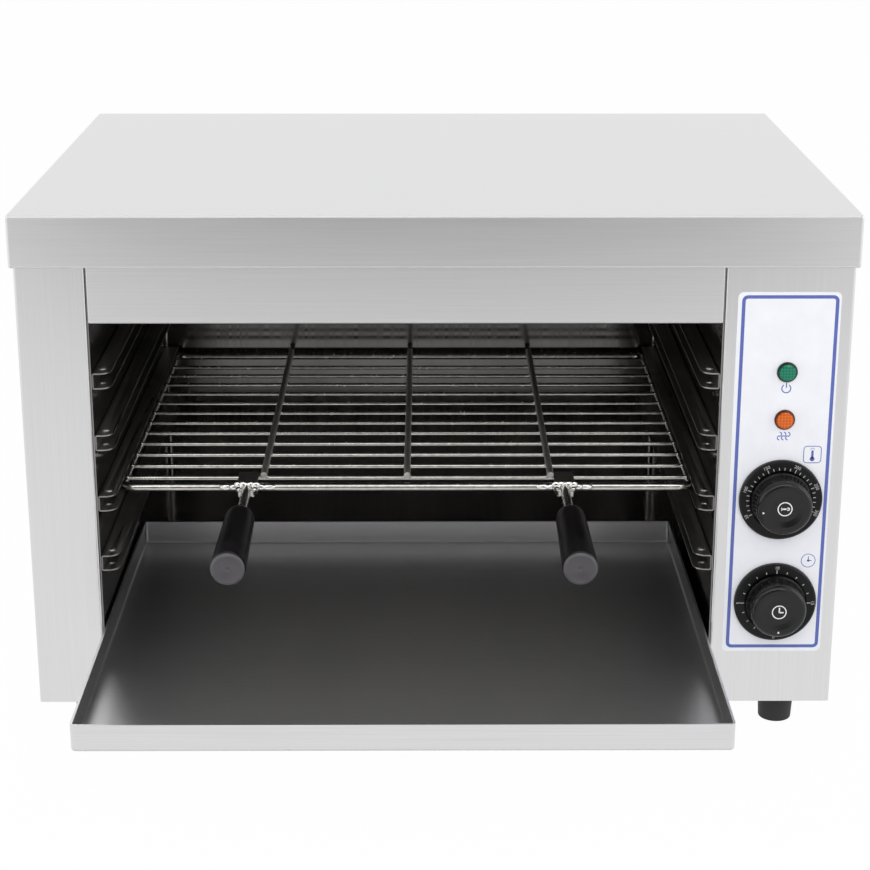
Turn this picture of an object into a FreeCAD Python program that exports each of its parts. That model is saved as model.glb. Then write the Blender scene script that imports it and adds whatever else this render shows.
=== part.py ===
# Countertop cheese melter: an open-fronted stainless cabinet with heating elements under its
# roof, four levels of runners, a wire grid with two handles, a crumb tray and a control column.
#
# Frame: X to the right, Y from the front into the cabinet, Z up, millimetres. The origin is on
# the bench, in the middle of the floor space that the whole machine takes with its tray drawn
# out as it stands at rest.

import FreeCAD
import Part
import math
import os

import Sketcher
from FreeCAD import Placement, Rotation, Vector

RUNNER_LEVELS = 4
RUNNERS_ABOVE_GRID = 2
GRID_RODS = 12
ELEMENTS = 3
# Heights of the lamps and dials below the casing's top, as shares of its height.
CONTROL_DROP_SHARES = {"power": 0.3051, "heat": 0.4011, "thermostat": 0.5646, "timer": 0.7807}
# Places of the hanging strips and of the cover's screws, as shares of the widths.
HANGER_SPREAD_SHARE = 0.288
COVER_SCREW_SHARE = 1 / 3

VENT_COLUMNS = 8
VENT_ROWS = 2
REAR_SCREWS_PER_SIDE = 4

# Each row is a driving size: its name in the sheet, its length and what it measures.
SIZES = (
    ("lid_width", 600.0, "top cover, side to side"),
    ("lid_depth", 440.0, "top cover, front to back"),
    ("skirt_height", 38.0, "folded edge of the top cover"),
    ("hem_height", 8.0, "doubled lower edge of the cover's skirt"),
    ("hem_bend", 1.5, "rounded lower edge of that doubled skirt"),
    ("side_overhang", 2.8, "cover beyond the casing at each side"),
    ("end_overhang", 2.3, "cover beyond the casing at front and back"),
    ("sheet_gauge", 1.0, "outer stainless sheet"),
    ("bend_radius", 1.8, "outside of a bend in the outer sheet"),
    ("edge_softness", 0.6, "rounding of a broken edge"),
    ("valance_end", 0.8, "rounded ends of the front strip under the cover"),
    ("casing_height", 372.0, "casing from its bottom edge to the underside of the cover"),
    ("left_column_width", 50.0, "front face left of the opening"),
    ("right_column_width", 91.4, "front face right of the opening, with the controls"),
    ("column_return", 15.0, "inward fold beside the opening"),
    ("casing_flange", 12.0, "folds that join the casing to cover, base and back"),
    ("valance_drop", 40.8, "front strip seen below the cover"),
    ("strip_flange", 10.0, "folds of the two front strips"),
    ("front_gap", 1.1, "gap between a front strip and a column"),
    ("floor_rise", 42.0, "cavity floor above the casing's bottom edge"),
    ("notch_gap", 0.3, "room around a fold that passes a notch"),
    ("liner_gauge", 0.8, "sheet of the cavity lining"),
    ("liner_flange", 10.0, "folds of the cavity lining"),
    ("liner_set_back", 3.0, "front edge of a lining wall behind the casing's front"),
    ("rear_space", 19.4, "cavity's back wall to the casing's back"),
    ("ceiling_drop", 50.0, "top of the casing to the cavity's ceiling"),
    ("runner_width", 13.0, "runner flange, out from the wall"),
    ("runner_height", 12.0, "runner, outside"),
    ("runner_gauge", 1.0, "runner sheet"),
    ("runner_bend", 1.5, "outside of a runner's bends"),
    ("runner_corner", 9.0, "rounded front corner of a runner flange"),
    ("runner_end_gap", 5.5, "runner's rear end to the cavity's back wall"),
    ("runner_set_back", 5.5, "runner's front end behind the casing's front"),
    ("runner_drop", 116.0, "top of the casing to the top of the first runner"),
    ("runner_rise", 115.9, "casing's bottom to the top of the last runner"),
    ("dome_radius", 3.25, "pressed dome in a runner flange"),
    ("dome_height", 1.6, "height of that dome"),
    ("dome_wall", 0.8, "metal left in that dome"),
    ("dome_set_back", 12.5, "dome behind the runner's front end"),
    ("dome_inset", 6.0, "dome out from the wall"),
    ("grid_side_gap", 8.7, "wire grid to the cavity's wall at each side"),
    ("grid_rear_gap", 6.6, "wire grid to the cavity's back wall"),
    ("grid_set_back", 47.4, "grid's front bar behind the casing's front"),
    ("slide_clearance", 0.3, "running gap under the grid and under the tray"),
    ("frame_radius", 3.0, "wire of the grid's frame"),
    ("frame_bend", 9.0, "bend at the grid's corners, on the wire's axis"),
    ("rod_radius", 1.75, "cross rod of the grid"),
    ("rod_inset", 4.5, "end of a cross rod inside the frame's outer side"),
    ("first_rod_back", 17.0, "front bar to the first cross rod"),
    ("last_rod_gap", 41.6, "last cross rod to the rear bar"),
    ("bar_radius", 2.5, "long bar over the cross rods"),
    ("bar_lead", 6.0, "front end of a long bar before the first cross rod"),
    ("weld_sink", 0.3, "how far welded wires sink into each other"),
    ("handle_offset_left", 11.5, "left handle's axis outside the outer long bar"),
    ("handle_offset_right", 10.0, "right handle's axis outside the outer long bar"),
    ("tab_width", 15.0, "tab that carries a handle"),
    ("tab_gauge", 1.5, "sheet of that tab"),
    ("tab_tail", 4.0, "tab behind the first cross rod"),
    ("stem_radius", 3.75, "steel stem of a handle"),
    ("stem_reach", 62.0, "stem inside the grip"),
    ("weld_wing_root", 9.5, "half width of a stem's weld plate at the tab"),
    ("weld_wing_tip", 5.5, "half width of that plate at its front"),
    ("weld_wing_length", 12.0, "length of that plate"),
    ("weld_wing_gauge", 3.0, "thickness of that plate"),
    ("grip_stand", 65.0, "front bar to the rear end of a grip"),
    ("grip_length", 103.0, "grip, end to end"),
    ("grip_rear_radius", 10.9, "grip behind"),
    ("grip_front_radius", 12.4, "grip at its front end"),
    ("grip_shoulder", 5.0, "rounded rear shoulder of a grip"),
    ("grip_edge", 3.0, "rounded front edge of a grip"),
    ("tray_left_gap", 1.5, "crumb tray to the cavity's left wall"),
    ("tray_right_gap", 4.5, "crumb tray to the cavity's right wall"),
    ("tray_rear_gap", 27.0, "crumb tray, pushed home, to the cavity's back wall"),
    ("tray_height", 20.0, "crumb tray, outside"),
    ("tray_gauge", 0.8, "crumb tray sheet"),
    ("tray_corner", 3.2, "crumb tray's upright corners"),
    ("tray_fold", 2.4, "crumb tray's lower edges"),
    ("tray_hem", 6.0, "doubled rim of the crumb tray"),
    ("tray_drawn", 167.3, "tray's front before the casing's front, as it stands at rest"),
    ("label_width", 73.4, "control label"),
    ("label_rise", 41.3, "control label above the casing's bottom"),
    ("label_gauge", 0.4, "control label"),
    ("label_corner", 4.0, "rounded corners of the label"),
    ("label_margin", 9.2, "label to the casing's right side"),
    ("label_drop", 54.7, "top of the casing to the label"),
    ("control_inset", 45.1, "lamps and dials from the casing's right side"),
    ("lamp_rim_radius", 7.45, "lamp lens over the label"),
    ("lamp_rim_gauge", 1.3, "edge of that lens"),
    ("lamp_face_radius", 6.2, "raised face of the lens"),
    ("lamp_stand", 3.4, "lens face before the label"),
    ("lamp_neck_radius", 4.9, "neck of a lamp"),
    ("lamp_neck_length", 4.4, "neck of a lamp behind the label's face"),
    ("lamp_body_radius", 6.4, "lamp holder behind the panel"),
    ("lamp_body_length", 22.0, "lamp holder behind the panel"),
    ("blade_width", 4.8, "flat connector blade"),
    ("blade_gauge", 0.8, "flat connector blade"),
    ("blade_length", 7.0, "flat connector blade"),
    ("hole_gap", 0.2, "room around what passes a hole"),
    ("dial_radius", 30.3, "scale ring behind a knob"),
    ("dial_gauge", 4.0, "scale ring"),
    ("dial_floor", 1.2, "floor of the scale ring under the knob"),
    ("dial_recess_radius", 22.8, "recess of the scale ring"),
    ("dial_bevel", 1.1, "bevel of the scale ring's outer edge"),
    ("knob_base_radius", 22.0, "knob at its base"),
    ("knob_base_height", 2.6, "straight base of the knob"),
    ("knob_waist_radius", 20.8, "knob above its base"),
    ("knob_waist_height", 5.6, "height where the knob's base ends"),
    ("knob_crown_radius", 20.2, "knob at its front"),
    ("knob_edge", 4.0, "rounded front edge of the knob"),
    ("knob_dish_radius", 14.0, "dished middle of the knob's face"),
    ("knob_dish", 0.9, "depth of that dish"),
    ("knob_length", 19.0, "knob, front to back"),
    ("knob_lift", 3.7, "underside of the knob before the label's face"),
    ("knob_bore_depth", 12.0, "socket of the knob"),
    ("shaft_radius", 3.0, "control shaft"),
    ("running_gap", 0.05, "radial clearance of a turning shaft"),
    ("shaft_end_gap", 0.5, "end play behind a shaft"),
    ("bush_radius", 5.0, "threaded bush of a control"),
    ("bush_depth", 18.0, "bore of a control behind the panel"),
    ("control_screw_spread", 14.0, "control screw from the shaft's axis"),
    ("control_screw_depth", 7.0, "control screw behind the panel"),
    ("screw_radius", 2.0, "shank of a small screw"),
    ("screw_head_radius", 3.6, "head of a small screw"),
    ("screw_head_crown", 2.4, "flat top of that head"),
    ("screw_head_height", 1.7, "head of a small screw"),
    ("screw_slot", 0.8, "cross recess, width"),
    ("screw_slot_length", 3.6, "cross recess, length"),
    ("screw_slot_depth", 0.9, "cross recess, depth"),
    ("case_screw_length", 7.0, "shank of a casing screw"),
    ("thermostat_width", 44.0, "thermostat body"),
    ("thermostat_depth", 32.0, "thermostat body"),
    ("thermostat_height", 34.0, "thermostat body"),
    ("timer_width", 48.0, "timer body"),
    ("timer_depth", 38.0, "timer body"),
    ("timer_height", 48.0, "timer body"),
    ("probe_radius", 3.0, "thermostat bulb"),
    ("probe_length", 78.0, "thermostat bulb"),
    ("probe_rise", 10.0, "bulb below the cavity's ceiling"),
    ("probe_back", 20.0, "bulb behind the casing's front"),
    ("probe_collar_radius", 5.5, "collar that holds the bulb in the wall"),
    ("probe_collar_length", 4.0, "that collar"),
    ("capillary_radius", 0.8, "tube from the bulb to the thermostat"),
    ("capillary_bend", 22.0, "bend of that tube"),
    ("capillary_offset", 13.0, "that tube's drop beside the controls' axis"),
    ("element_radius", 4.0, "sheathed heating element"),
    ("element_spread", 60.0, "the two legs of one element"),
    ("element_first_back", 100.0, "first element's middle behind the casing's front"),
    ("element_last_gap", 86.0, "last element's middle to the cavity's back wall"),
    ("element_drop", 16.0, "element's axis below the cavity's ceiling"),
    ("element_left_gap", 22.0, "left bend of an element to the cavity's wall"),
    ("element_tail", 14.0, "element beyond the cavity's right wall"),
    ("element_fit", 0.1, "room around an element in its holes"),
    ("hanger_gauge", 1.2, "strip that hangs the elements"),
    ("hanger_skirt", 7.0, "strip below the elements' axis"),
    ("hanger_flange", 12.0, "strip's fold on the ceiling"),
    ("hanger_margin", 14.0, "strip beyond the outer legs"),
    ("nut_radius", 8.0, "across the corners of an element's nut, halved"),
    ("nut_height", 6.0, "element's nut"),
    ("bead_radius", 3.6, "ceramic bead on an element's end"),
    ("bead_length", 6.0, "ceramic bead"),
    ("pin_radius", 1.5, "terminal pin"),
    ("pin_length", 10.0, "terminal pin"),
    ("shield_gap", 10.0, "heat shield from the cavity's right wall"),
    ("shield_start", 30.0, "heat shield behind the casing's front"),
    ("shield_rear_gap", 26.0, "heat shield to the cavity's back wall"),
    ("shield_head_gap", 5.0, "heat shield below the elements' nuts"),
    ("shield_foot", 6.0, "heat shield above the base plate"),
    ("foot_height", 26.0, "rubber foot"),
    ("foot_top_radius", 13.8, "rubber foot at the casing"),
    ("foot_sole_radius", 12.3, "rubber foot on the bench"),
    ("foot_edge", 1.2, "rounded sole edge"),
    ("foot_bore_radius", 2.6, "screw hole of a foot"),
    ("foot_socket_radius", 6.4, "socket for the screw's head"),
    ("foot_socket_depth", 14.0, "socket for the screw's head"),
    ("foot_side_inset", 35.0, "foot's axis from the casing's side"),
    ("foot_end_inset", 30.0, "foot's axis from the casing's front and back"),
    ("foot_screw_radius", 2.5, "shank of a foot's screw"),
    ("foot_screw_head_radius", 5.2, "head of a foot's screw"),
    ("foot_screw_head_height", 3.2, "head of a foot's screw"),
    ("foot_nut_radius", 4.6, "across the corners of a foot's nut, halved"),
    ("foot_nut_height", 4.0, "foot's nut"),
    ("foot_screw_tail", 2.0, "screw beyond its nut"),
    ("vent_width", 4.0, "ventilation slot"),
    ("vent_height", 58.0, "ventilation slot"),
    ("vent_pitch", 9.0, "one slot to the next"),
    ("vent_row_pitch", 74.0, "one row of slots to the next"),
    ("vent_side_inset", 16.0, "first slot from the casing's right side"),
    ("vent_rise", 150.0, "lower row of slots above the casing's bottom"),
    ("base_vent_length", 40.0, "ventilation slot in the base"),
    ("case_screw_inset", 6.5, "casing screw from the casing's side"),
    ("case_screw_rise", 18.0, "lowest casing screw above the casing's bottom"),
    ("case_screw_drop", 53.0, "top of the casing to the highest casing screw"),
    ("cover_screw_rise", 18.0, "cover screw above the skirt's edge"),
    ("gland_rise", 36.0, "cable gland above the casing's bottom"),
    ("gland_bore_radius", 4.2, "opening for the supply cord"),
    ("gland_thread_radius", 8.0, "thread of the gland"),
    ("gland_flange_radius", 11.0, "flange of the gland"),
    ("gland_flange_length", 5.0, "flange of the gland"),
    ("gland_cap_radius", 9.4, "cap of the gland"),
    ("gland_mouth_radius", 6.6, "rear end of the gland"),
    ("gland_stand", 14.0, "gland behind the back panel"),
    ("gland_tail", 9.0, "gland's thread before the back panel's outer face"),
    ("gland_nut_radius", 12.0, "across the corners of the gland's nut, halved"),
    ("gland_nut_height", 5.0, "gland's nut"),
    ("block_width", 44.0, "terminal block"),
    ("block_depth", 22.0, "terminal block"),
    ("block_height", 20.0, "terminal block"),
    ("block_back", 60.0, "terminal block before the back panel"),
    ("block_port_radius", 3.2, "wire port of the terminal block"),
    ("block_port_pitch", 13.0, "one wire port to the next"),
    ("block_port_depth", 8.0, "wire port of the terminal block"),
    ("stud_radius", 2.5, "earth stud"),
    ("stud_height", 18.0, "earth stud"),
    ("stud_side_inset", 20.0, "earth stud from the casing's right side"),
    ("stud_back", 30.0, "earth stud before the back panel"),
)


class Size:
    """A length that carries its sheet formula beside its value."""

    def __init__(self, formula, value):
        self.formula = formula
        self.value = value

    def __add__(self, other):
        other = as_size(other)
        return Size(f"({self.formula} + {other.formula})", self.value + other.value)

    def __radd__(self, other):
        return as_size(other) + self

    def __sub__(self, other):
        other = as_size(other)
        return Size(f"({self.formula} - {other.formula})", self.value - other.value)

    def __rsub__(self, other):
        return as_size(other) - self

    def __mul__(self, share):
        return Size(f"({self.formula} * {share!r})", self.value * share)

    def __rmul__(self, share):
        return self * share

    def __truediv__(self, share):
        return Size(f"({self.formula} / {share!r})", self.value / share)

    def __neg__(self):
        return Size(f"(-{self.formula})", -self.value)


def as_size(length):
    return length if isinstance(length, Size) else Size(repr(float(length)), float(length))


doc = FreeCAD.newDocument("CheeseMelter")
sheet = doc.addObject("Spreadsheet::Sheet", "Sizes")
for row, (name, length, note) in enumerate(SIZES, start=1):
    sheet.set(f"A{row}", name)
    sheet.set(f"B{row}", repr(length))
    sheet.set(f"C{row}", note)
    sheet.setAlias(f"B{row}", name)
doc.recompute()


class Sheet:
    """Reads a named cell of the sheet as a Size."""

    def __getattr__(self, name):
        return Size(f"Sizes.{name}", float(sheet.get(name)))


s = Sheet()

# Planes and places that several pieces share.
body_width = s.lid_width - 2 * s.side_overhang
body_depth = s.lid_depth - 2 * s.end_overhang
casing_run = body_depth - s.sheet_gauge
front = (s.tray_drawn - body_depth - s.gland_stand) / 2
back = front + casing_run
left = -body_width / 2
right = body_width / 2
bottom = s.foot_height
top = s.foot_height + s.casing_height
base_top = bottom + s.sheet_gauge
skirt_edge = top + s.sheet_gauge - s.skirt_height
opening_left = left + s.left_column_width
opening_right = right - s.right_column_width
inner_left = opening_left + s.liner_gauge
inner_right = opening_right - s.liner_gauge
inner_width = inner_right - inner_left
middle = (inner_left + inner_right) / 2
cavity_depth = body_depth - s.rear_space
runner_length = cavity_depth - s.runner_set_back - s.runner_end_gap
runner_pitch = (s.casing_height - s.runner_drop - s.runner_rise) / (RUNNER_LEVELS - 1)
grid_width = inner_width - 2 * s.grid_side_gap
grid_run = cavity_depth - s.grid_set_back - s.grid_rear_gap - s.frame_radius
rod_pitch = (grid_run - s.first_rod_back - s.last_rod_gap) / (GRID_RODS - 1)
tray_width = inner_width - s.tray_left_gap - s.tray_right_gap
tray_depth = cavity_depth - s.tray_rear_gap
element_pitch = (cavity_depth - s.element_first_back - s.element_last_gap) / (ELEMENTS - 1)
strip_width = opening_right - opening_left - 2 * s.front_gap
valance_bottom = skirt_edge - s.valance_drop
floor_top = bottom + s.floor_rise
ceiling = top - s.ceiling_drop
label_face = front - s.label_gauge
panel_back = front + s.sheet_gauge
control_x = right - s.control_inset
label_height = s.casing_height - s.label_drop - s.label_rise
power_lamp_z = top - s.casing_height * CONTROL_DROP_SHARES["power"]
heat_lamp_z = top - s.casing_height * CONTROL_DROP_SHARES["heat"]
thermostat_z = top - s.casing_height * CONTROL_DROP_SHARES["thermostat"]
timer_z = top - s.casing_height * CONTROL_DROP_SHARES["timer"]
element_z = ceiling - s.element_drop
inner_bend = s.bend_radius - s.sheet_gauge

parts = {}


def bind(item, path, length):
    """Tie a property to the sheet; a plain zero needs no formula."""
    if isinstance(length, Size):
        item.setExpression(path, length.formula)


def place(item, x=0, y=0, z=0, turn=None):
    """Put an object at a point; turn is an axis and an angle in degrees."""
    if turn:
        item.Placement = Placement(Vector(), Rotation(Vector(*turn[0]), turn[1]))
    bind(item, "Placement.Base.x", x)
    bind(item, "Placement.Base.y", y)
    bind(item, "Placement.Base.z", z)
    return item


ALONG = {"X": ((0, 1, 0), 90), "Y": ((1, 0, 0), -90), "Z": None}


def keep(label, item):
    """Name a finished sub-part."""
    item.Label = label
    parts[label] = item
    return item


def box(name, x, y, z, width, depth, height):
    item = doc.addObject("Part::Box", name)
    bind(item, "Length", width)
    bind(item, "Width", depth)
    bind(item, "Height", height)
    return place(item, x, y, z)


def rod(name, along, x, y, z, radius, length):
    """Cylinder that runs from its place in the plus direction of an axis."""
    item = doc.addObject("Part::Cylinder", name)
    bind(item, "Radius", radius)
    bind(item, "Height", length)
    return place(item, x, y, z, ALONG[along])


def hex_nut(name, along, x, y, z, radius, height):
    item = doc.addObject("Part::Prism", name)
    item.Polygon = 6
    bind(item, "Circumradius", radius)
    bind(item, "Height", height)
    return place(item, x, y, z, ALONG[along])


def bend(name, x, y, z, bend_radius, radius, turn, sweep=90):
    """Part of a ring; unturned, it runs about Z from the plus X side."""
    item = doc.addObject("Part::Torus", name)
    bind(item, "Radius1", bend_radius)
    bind(item, "Radius2", radius)
    item.Angle3 = sweep
    return place(item, x, y, z, turn)


def fuse(name, items):
    item = doc.addObject("Part::MultiFuse", name)
    item.Shapes = items
    return item


def gather(name, items):
    item = doc.addObject("Part::Compound", name)
    item.Links = items
    return item


def cut(name, base, tools):
    item = doc.addObject("Part::Cut", name)
    item.Base = base
    item.Tool = tools[0] if len(tools) == 1 else gather(name + "_tools", tools)
    return item


def new_body(name):
    return doc.addObject("PartDesign::Body", name)


def draw(body, name, plane, lift=None):
    """Sketch on one of the body's own planes, lifted along the plane's normal."""
    sketch = body.newObject("Sketcher::SketchObject", name)
    for feature in body.Origin.OriginFeatures:
        if feature.Role == plane + "_Plane":
            sketch.AttachmentSupport = [(feature, "")]
    sketch.MapMode = "FlatFace"
    if lift is not None:
        bind(sketch, "AttachmentOffset.Base.z", lift)
    return sketch


def stepped(corner, neighbour, radius):
    """The point one radius from a corner towards a neighbour in line with an axis."""
    across = neighbour[0].value - corner[0].value
    up = neighbour[1].value - corner[1].value
    if abs(across) > abs(up):
        return corner[0] + radius * math.copysign(1, across), corner[1]
    return corner[0], corner[1] + radius * math.copysign(1, up)


def point(place_):
    return Vector(place_[0].value, place_[1].value, 0)


class Pins:
    """Constraints of one outline, added to its sketch together."""

    def __init__(self, sketch):
        self.sketch = sketch
        self.constraints = []
        self.formulas = []

    def add(self, kind, *values):
        self.constraints.append(Sketcher.Constraint(kind, *values))

    def add_size(self, length, kind, *values):
        alias = f"size{self.sketch.ConstraintCount + len(self.constraints)}"
        self.add(kind, *values, length.value)
        self.constraints[-1].Name = alias
        self.formulas.append((alias, length.formula))

    def add_point(self, geometry, end, place_):
        for kind, axis, length in (("DistanceX", -2, place_[0]), ("DistanceY", -1, place_[1])):
            if length.formula == "0.0":
                self.add("PointOnObject", geometry, end, axis)
            else:
                self.add_size(length, kind, -1, 1, geometry, end)

    def finish(self):
        self.sketch.addConstraint(self.constraints)
        for alias, formula in self.formulas:
            self.sketch.setExpression("Constraints." + alias, formula)


def loop(sketch, corners):
    """Closed outline through corners; a corner with a third number is rounded by it."""
    corners = [[as_size(length) for length in corner] for corner in corners]
    pieces = []
    for index, corner in enumerate(corners):
        if len(corner) == 2:
            pieces.append((corner, corner, None))
            continue
        radius = corner[2]
        start = stepped(corner, corners[index - 1], radius)
        end = stepped(corner, corners[(index + 1) % len(corners)], radius)
        pieces.append((start, end, radius))
    runs = []
    for index, (start, end, radius) in enumerate(pieces):
        if radius is not None:
            p, q, tip = point(start), point(end), point(corners[index])
            centre = p + q - tip
            crest = centre + (tip - centre).normalize() * radius.value
            runs.append((start, Part.Arc(p, crest, q), radius))
        following = pieces[(index + 1) % len(pieces)][0]
        runs.append((end, Part.LineSegment(point(end), point(following)), None))
    first = sketch.GeometryCount
    sketch.addGeometry([curve for _, curve, _ in runs], False)
    pins = Pins(sketch)
    ends = []
    for offset, (start, _, _) in enumerate(runs):
        near = sketch.getPoint(first + offset, 1).distanceToPoint(point(start))
        far = sketch.getPoint(first + offset, 2).distanceToPoint(point(start))
        ends.append((1, 2) if near < far else (2, 1))
    for offset, (start, _, radius) in enumerate(runs):
        before = offset - 1 if offset else len(runs) - 1
        pins.add("Coincident", first + before, ends[before][1], first + offset, ends[offset][0])
        pins.add_point(first + offset, ends[offset][0], start)
        if radius is not None:
            pins.add_size(radius, "Radius", first + offset)
    pins.finish()


def ring(sketch, x, y, radius):
    """Circle in a sketch."""
    x, y, radius = as_size(x), as_size(y), as_size(radius)
    geometry = sketch.addGeometry(Part.Circle(point((x, y)), Vector(0, 0, 1), radius.value), False)
    pins = Pins(sketch)
    pins.add_point(geometry, 3, (x, y))
    pins.add_size(radius, "Radius", geometry)
    pins.finish()


def rectangle(x, y, width, height, radius=None):
    """Corners of a rectangle, rounded where a radius is given."""
    corners = [(x, y), (x + width, y), (x + width, y + height), (x, y + height)]
    return [corner + (radius,) for corner in corners] if radius is not None else corners


def pad(body, name, sketch, length, plane):
    """Pad towards plus X, Y or Z."""
    feature = body.newObject("PartDesign::Pad", name)
    feature.Profile = sketch
    feature.Reversed = plane == "XZ"
    bind(feature, "Length", length)
    return feature


def pocket_up(body, name, sketch, length):
    """Pocket from a level sketch, upwards."""
    feature = body.newObject("PartDesign::Pocket", name)
    feature.Profile = sketch
    feature.Reversed = True
    bind(feature, "Length", length)
    return feature


def revolve(body, name, sketch):
    """Turn a half outline about the sketch's upright axis."""
    feature = body.newObject("PartDesign::Revolution", name)
    feature.Profile = sketch
    feature.ReferenceAxis = (sketch, ["V_Axis"])
    feature.Angle = 360
    return feature


def soften(body, name, radius, wanted):
    """Round the edges of the body's last feature that a test picks."""
    doc.recompute()
    tip = body.Tip
    names = [f"Edge{i}" for i, edge in enumerate(tip.Shape.Edges, start=1) if wanted(edge)]
    feature = body.newObject("PartDesign::Fillet", name)
    feature.Base = (tip, names)
    bind(feature, "Radius", radius)
    return feature


def near(one, other):
    return abs(one - other) < 1e-4


def rim(radius, height):
    """Test for a round edge about the Y axis of a turned piece."""
    def wanted(edge):
        curve = edge.Curve
        if not hasattr(curve, "Radius") or not hasattr(curve, "Center"):
            return False
        return near(curve.Radius, radius.value) and near(curve.Center.y, height.value)
    return wanted


def turned(name, outline, x, y, z, plane="XY"):
    """Turned piece: radii across, lengths along Y (plane XY) or along Z (plane XZ)."""
    body = new_body(name)
    sketch = draw(body, name + "_half", plane)
    loop(sketch, outline)
    revolve(body, name + "_turn", sketch)
    place(body, x, y, z)
    return body


def pan_screw(name, x, y, z, length, toward):
    """Screw whose head's underside is at its place; the shank runs toward plus or minus Y."""
    flat = ((1, 0, 0), 90 * toward)
    head = doc.addObject("Part::Cone", name + "_head")
    bind(head, "Radius1", s.screw_head_radius)
    bind(head, "Radius2", s.screw_head_crown)
    bind(head, "Height", s.screw_head_height)
    place(head, x, y, z, flat)
    shank = doc.addObject("Part::Cylinder", name + "_shank")
    bind(shank, "Radius", s.screw_radius)
    bind(shank, "Height", length)
    place(shank, x, y, z, ((1, 0, 0), -90 * toward))
    slots = []
    face = y - s.screw_head_height * toward
    start = face if toward > 0 else face - s.screw_slot_depth
    half_slot = s.screw_slot / 2
    half_run = s.screw_slot_length / 2
    slots.append(box(name + "_slot_across", x - half_run, start, z - half_slot,
                     s.screw_slot_length, s.screw_slot_depth, s.screw_slot))
    slots.append(box(name + "_slot_up", x - half_slot, start, z - half_run,
                     s.screw_slot, s.screw_slot_depth, s.screw_slot_length))
    return cut(name, fuse(name + "_blank", [head, shank]), slots)


def case_screw_places():
    """Screws along both upright edges of the back panel."""
    pitch = (s.casing_height - s.case_screw_rise - s.case_screw_drop) / (REAR_SCREWS_PER_SIDE - 1)
    for x in (left + s.case_screw_inset, right - s.case_screw_inset):
        for index in range(REAR_SCREWS_PER_SIDE):
            yield x, bottom + s.case_screw_rise + pitch * index


def cover_screw_places():
    """Screws along the back of the cover's skirt."""
    for share in (-1, 0, 1):
        yield s.lid_width * COVER_SCREW_SHARE * share, skirt_edge + s.cover_screw_rise


def control_screw_places():
    for z in (thermostat_z, timer_z):
        for side in (-1, 1):
            yield control_x + s.control_screw_spread * side, z


def foot_places():
    """Name, X and Y of each foot's axis."""
    for end, y in (("front", front + s.foot_end_inset), ("rear", back - s.foot_end_inset)):
        for side, x in (("left", left + s.foot_side_inset), ("right", right - s.foot_side_inset)):
            yield f"foot_{end}_{side}", x, y


def element_centres():
    """Y of the middle of each heating element."""
    for index in range(ELEMENTS):
        yield front + s.element_first_back + element_pitch * index


def leg_places():
    """Y of each leg of the heating elements."""
    for y in element_centres():
        yield y - s.element_spread / 2
        yield y + s.element_spread / 2


def make_top_cover():
    body = new_body("top_cover_shell")
    plan = draw(body, "cover_plan", "XY")
    loop(plan, rectangle(0, 0, s.lid_width, s.lid_depth, s.bend_radius))
    pad(body, "cover_block", plan, s.skirt_height, "XY")
    room = draw(body, "cover_room", "XY")
    loop(room, rectangle(as_size(0) + s.sheet_gauge, as_size(0) + s.sheet_gauge,
                         s.lid_width - 2 * s.sheet_gauge, s.lid_depth - 2 * s.sheet_gauge,
                         inner_bend))
    pocket_up(body, "cover_hollow", room, s.skirt_height - s.sheet_gauge)
    hem = draw(body, "cover_hem_plan", "XY")
    loop(hem, rectangle(as_size(0) + s.sheet_gauge, as_size(0) + s.sheet_gauge,
                        s.lid_width - 2 * s.sheet_gauge, s.lid_depth - 2 * s.sheet_gauge,
                        inner_bend))
    loop(hem, rectangle(2 * s.sheet_gauge, 2 * s.sheet_gauge,
                        s.lid_width - 4 * s.sheet_gauge, s.lid_depth - 4 * s.sheet_gauge))
    pad(body, "cover_hem", hem, s.hem_height, "XY")
    soften(body, "cover_top_bend", s.bend_radius,
           lambda edge: near(edge.BoundBox.ZMin, s.skirt_height.value))

    def lower_rim(edge):
        limits = edge.BoundBox
        outside = (near(limits.XMin, 0) or near(limits.YMin, 0)
                   or near(limits.XMax, s.lid_width.value) or near(limits.YMax, s.lid_depth.value))
        return near(limits.ZMax, 0) and outside

    soften(body, "cover_hem_edge", s.hem_bend, lower_rim)
    place(body, -s.lid_width / 2, front - s.end_overhang, skirt_edge)
    drills = [rod(f"cover_drill_{i}", "Y", x, back, z, s.screw_radius + s.hole_gap,
                  body_depth - casing_run + s.end_overhang + s.sheet_gauge)
              for i, (x, z) in enumerate(cover_screw_places())]
    keep("top_cover", cut("top_cover_part", body, drills))


def make_side_casing(name, width, side):
    """Folded upright casing; side is +1 for the left one, whose folds run to plus X."""
    gauge = s.sheet_gauge
    fold = s.column_return
    flange = s.casing_flange
    body = new_body(name)
    plan = draw(body, name + "_plan", "XY")
    corners = [
        (width - gauge, fold), (width, fold), (width, 0, s.bend_radius), (0, 0, s.bend_radius),
        (0, casing_run, s.bend_radius), (flange, casing_run), (flange, casing_run - gauge),
        (gauge, casing_run - gauge, inner_bend), (gauge, gauge, inner_bend),
        (width - gauge, gauge, inner_bend),
    ]
    loop(plan, [(as_size(corner[0]) * side,) + corner[1:] for corner in corners])
    pad(body, name + "_wall", plan, s.casing_height, "XY")
    for level, lift in (("lower", gauge), ("upper", s.casing_height - gauge)):
        outline = draw(body, f"{name}_{level}_fold", "XY", lift)
        loop(outline, [(gauge / 2 * side, gauge), (flange * side, gauge),
                       (flange * side, casing_run - gauge), (gauge / 2 * side, casing_run - gauge)])
        pad(body, f"{name}_{level}_flange", outline, gauge, "XY")
    return body


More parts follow.
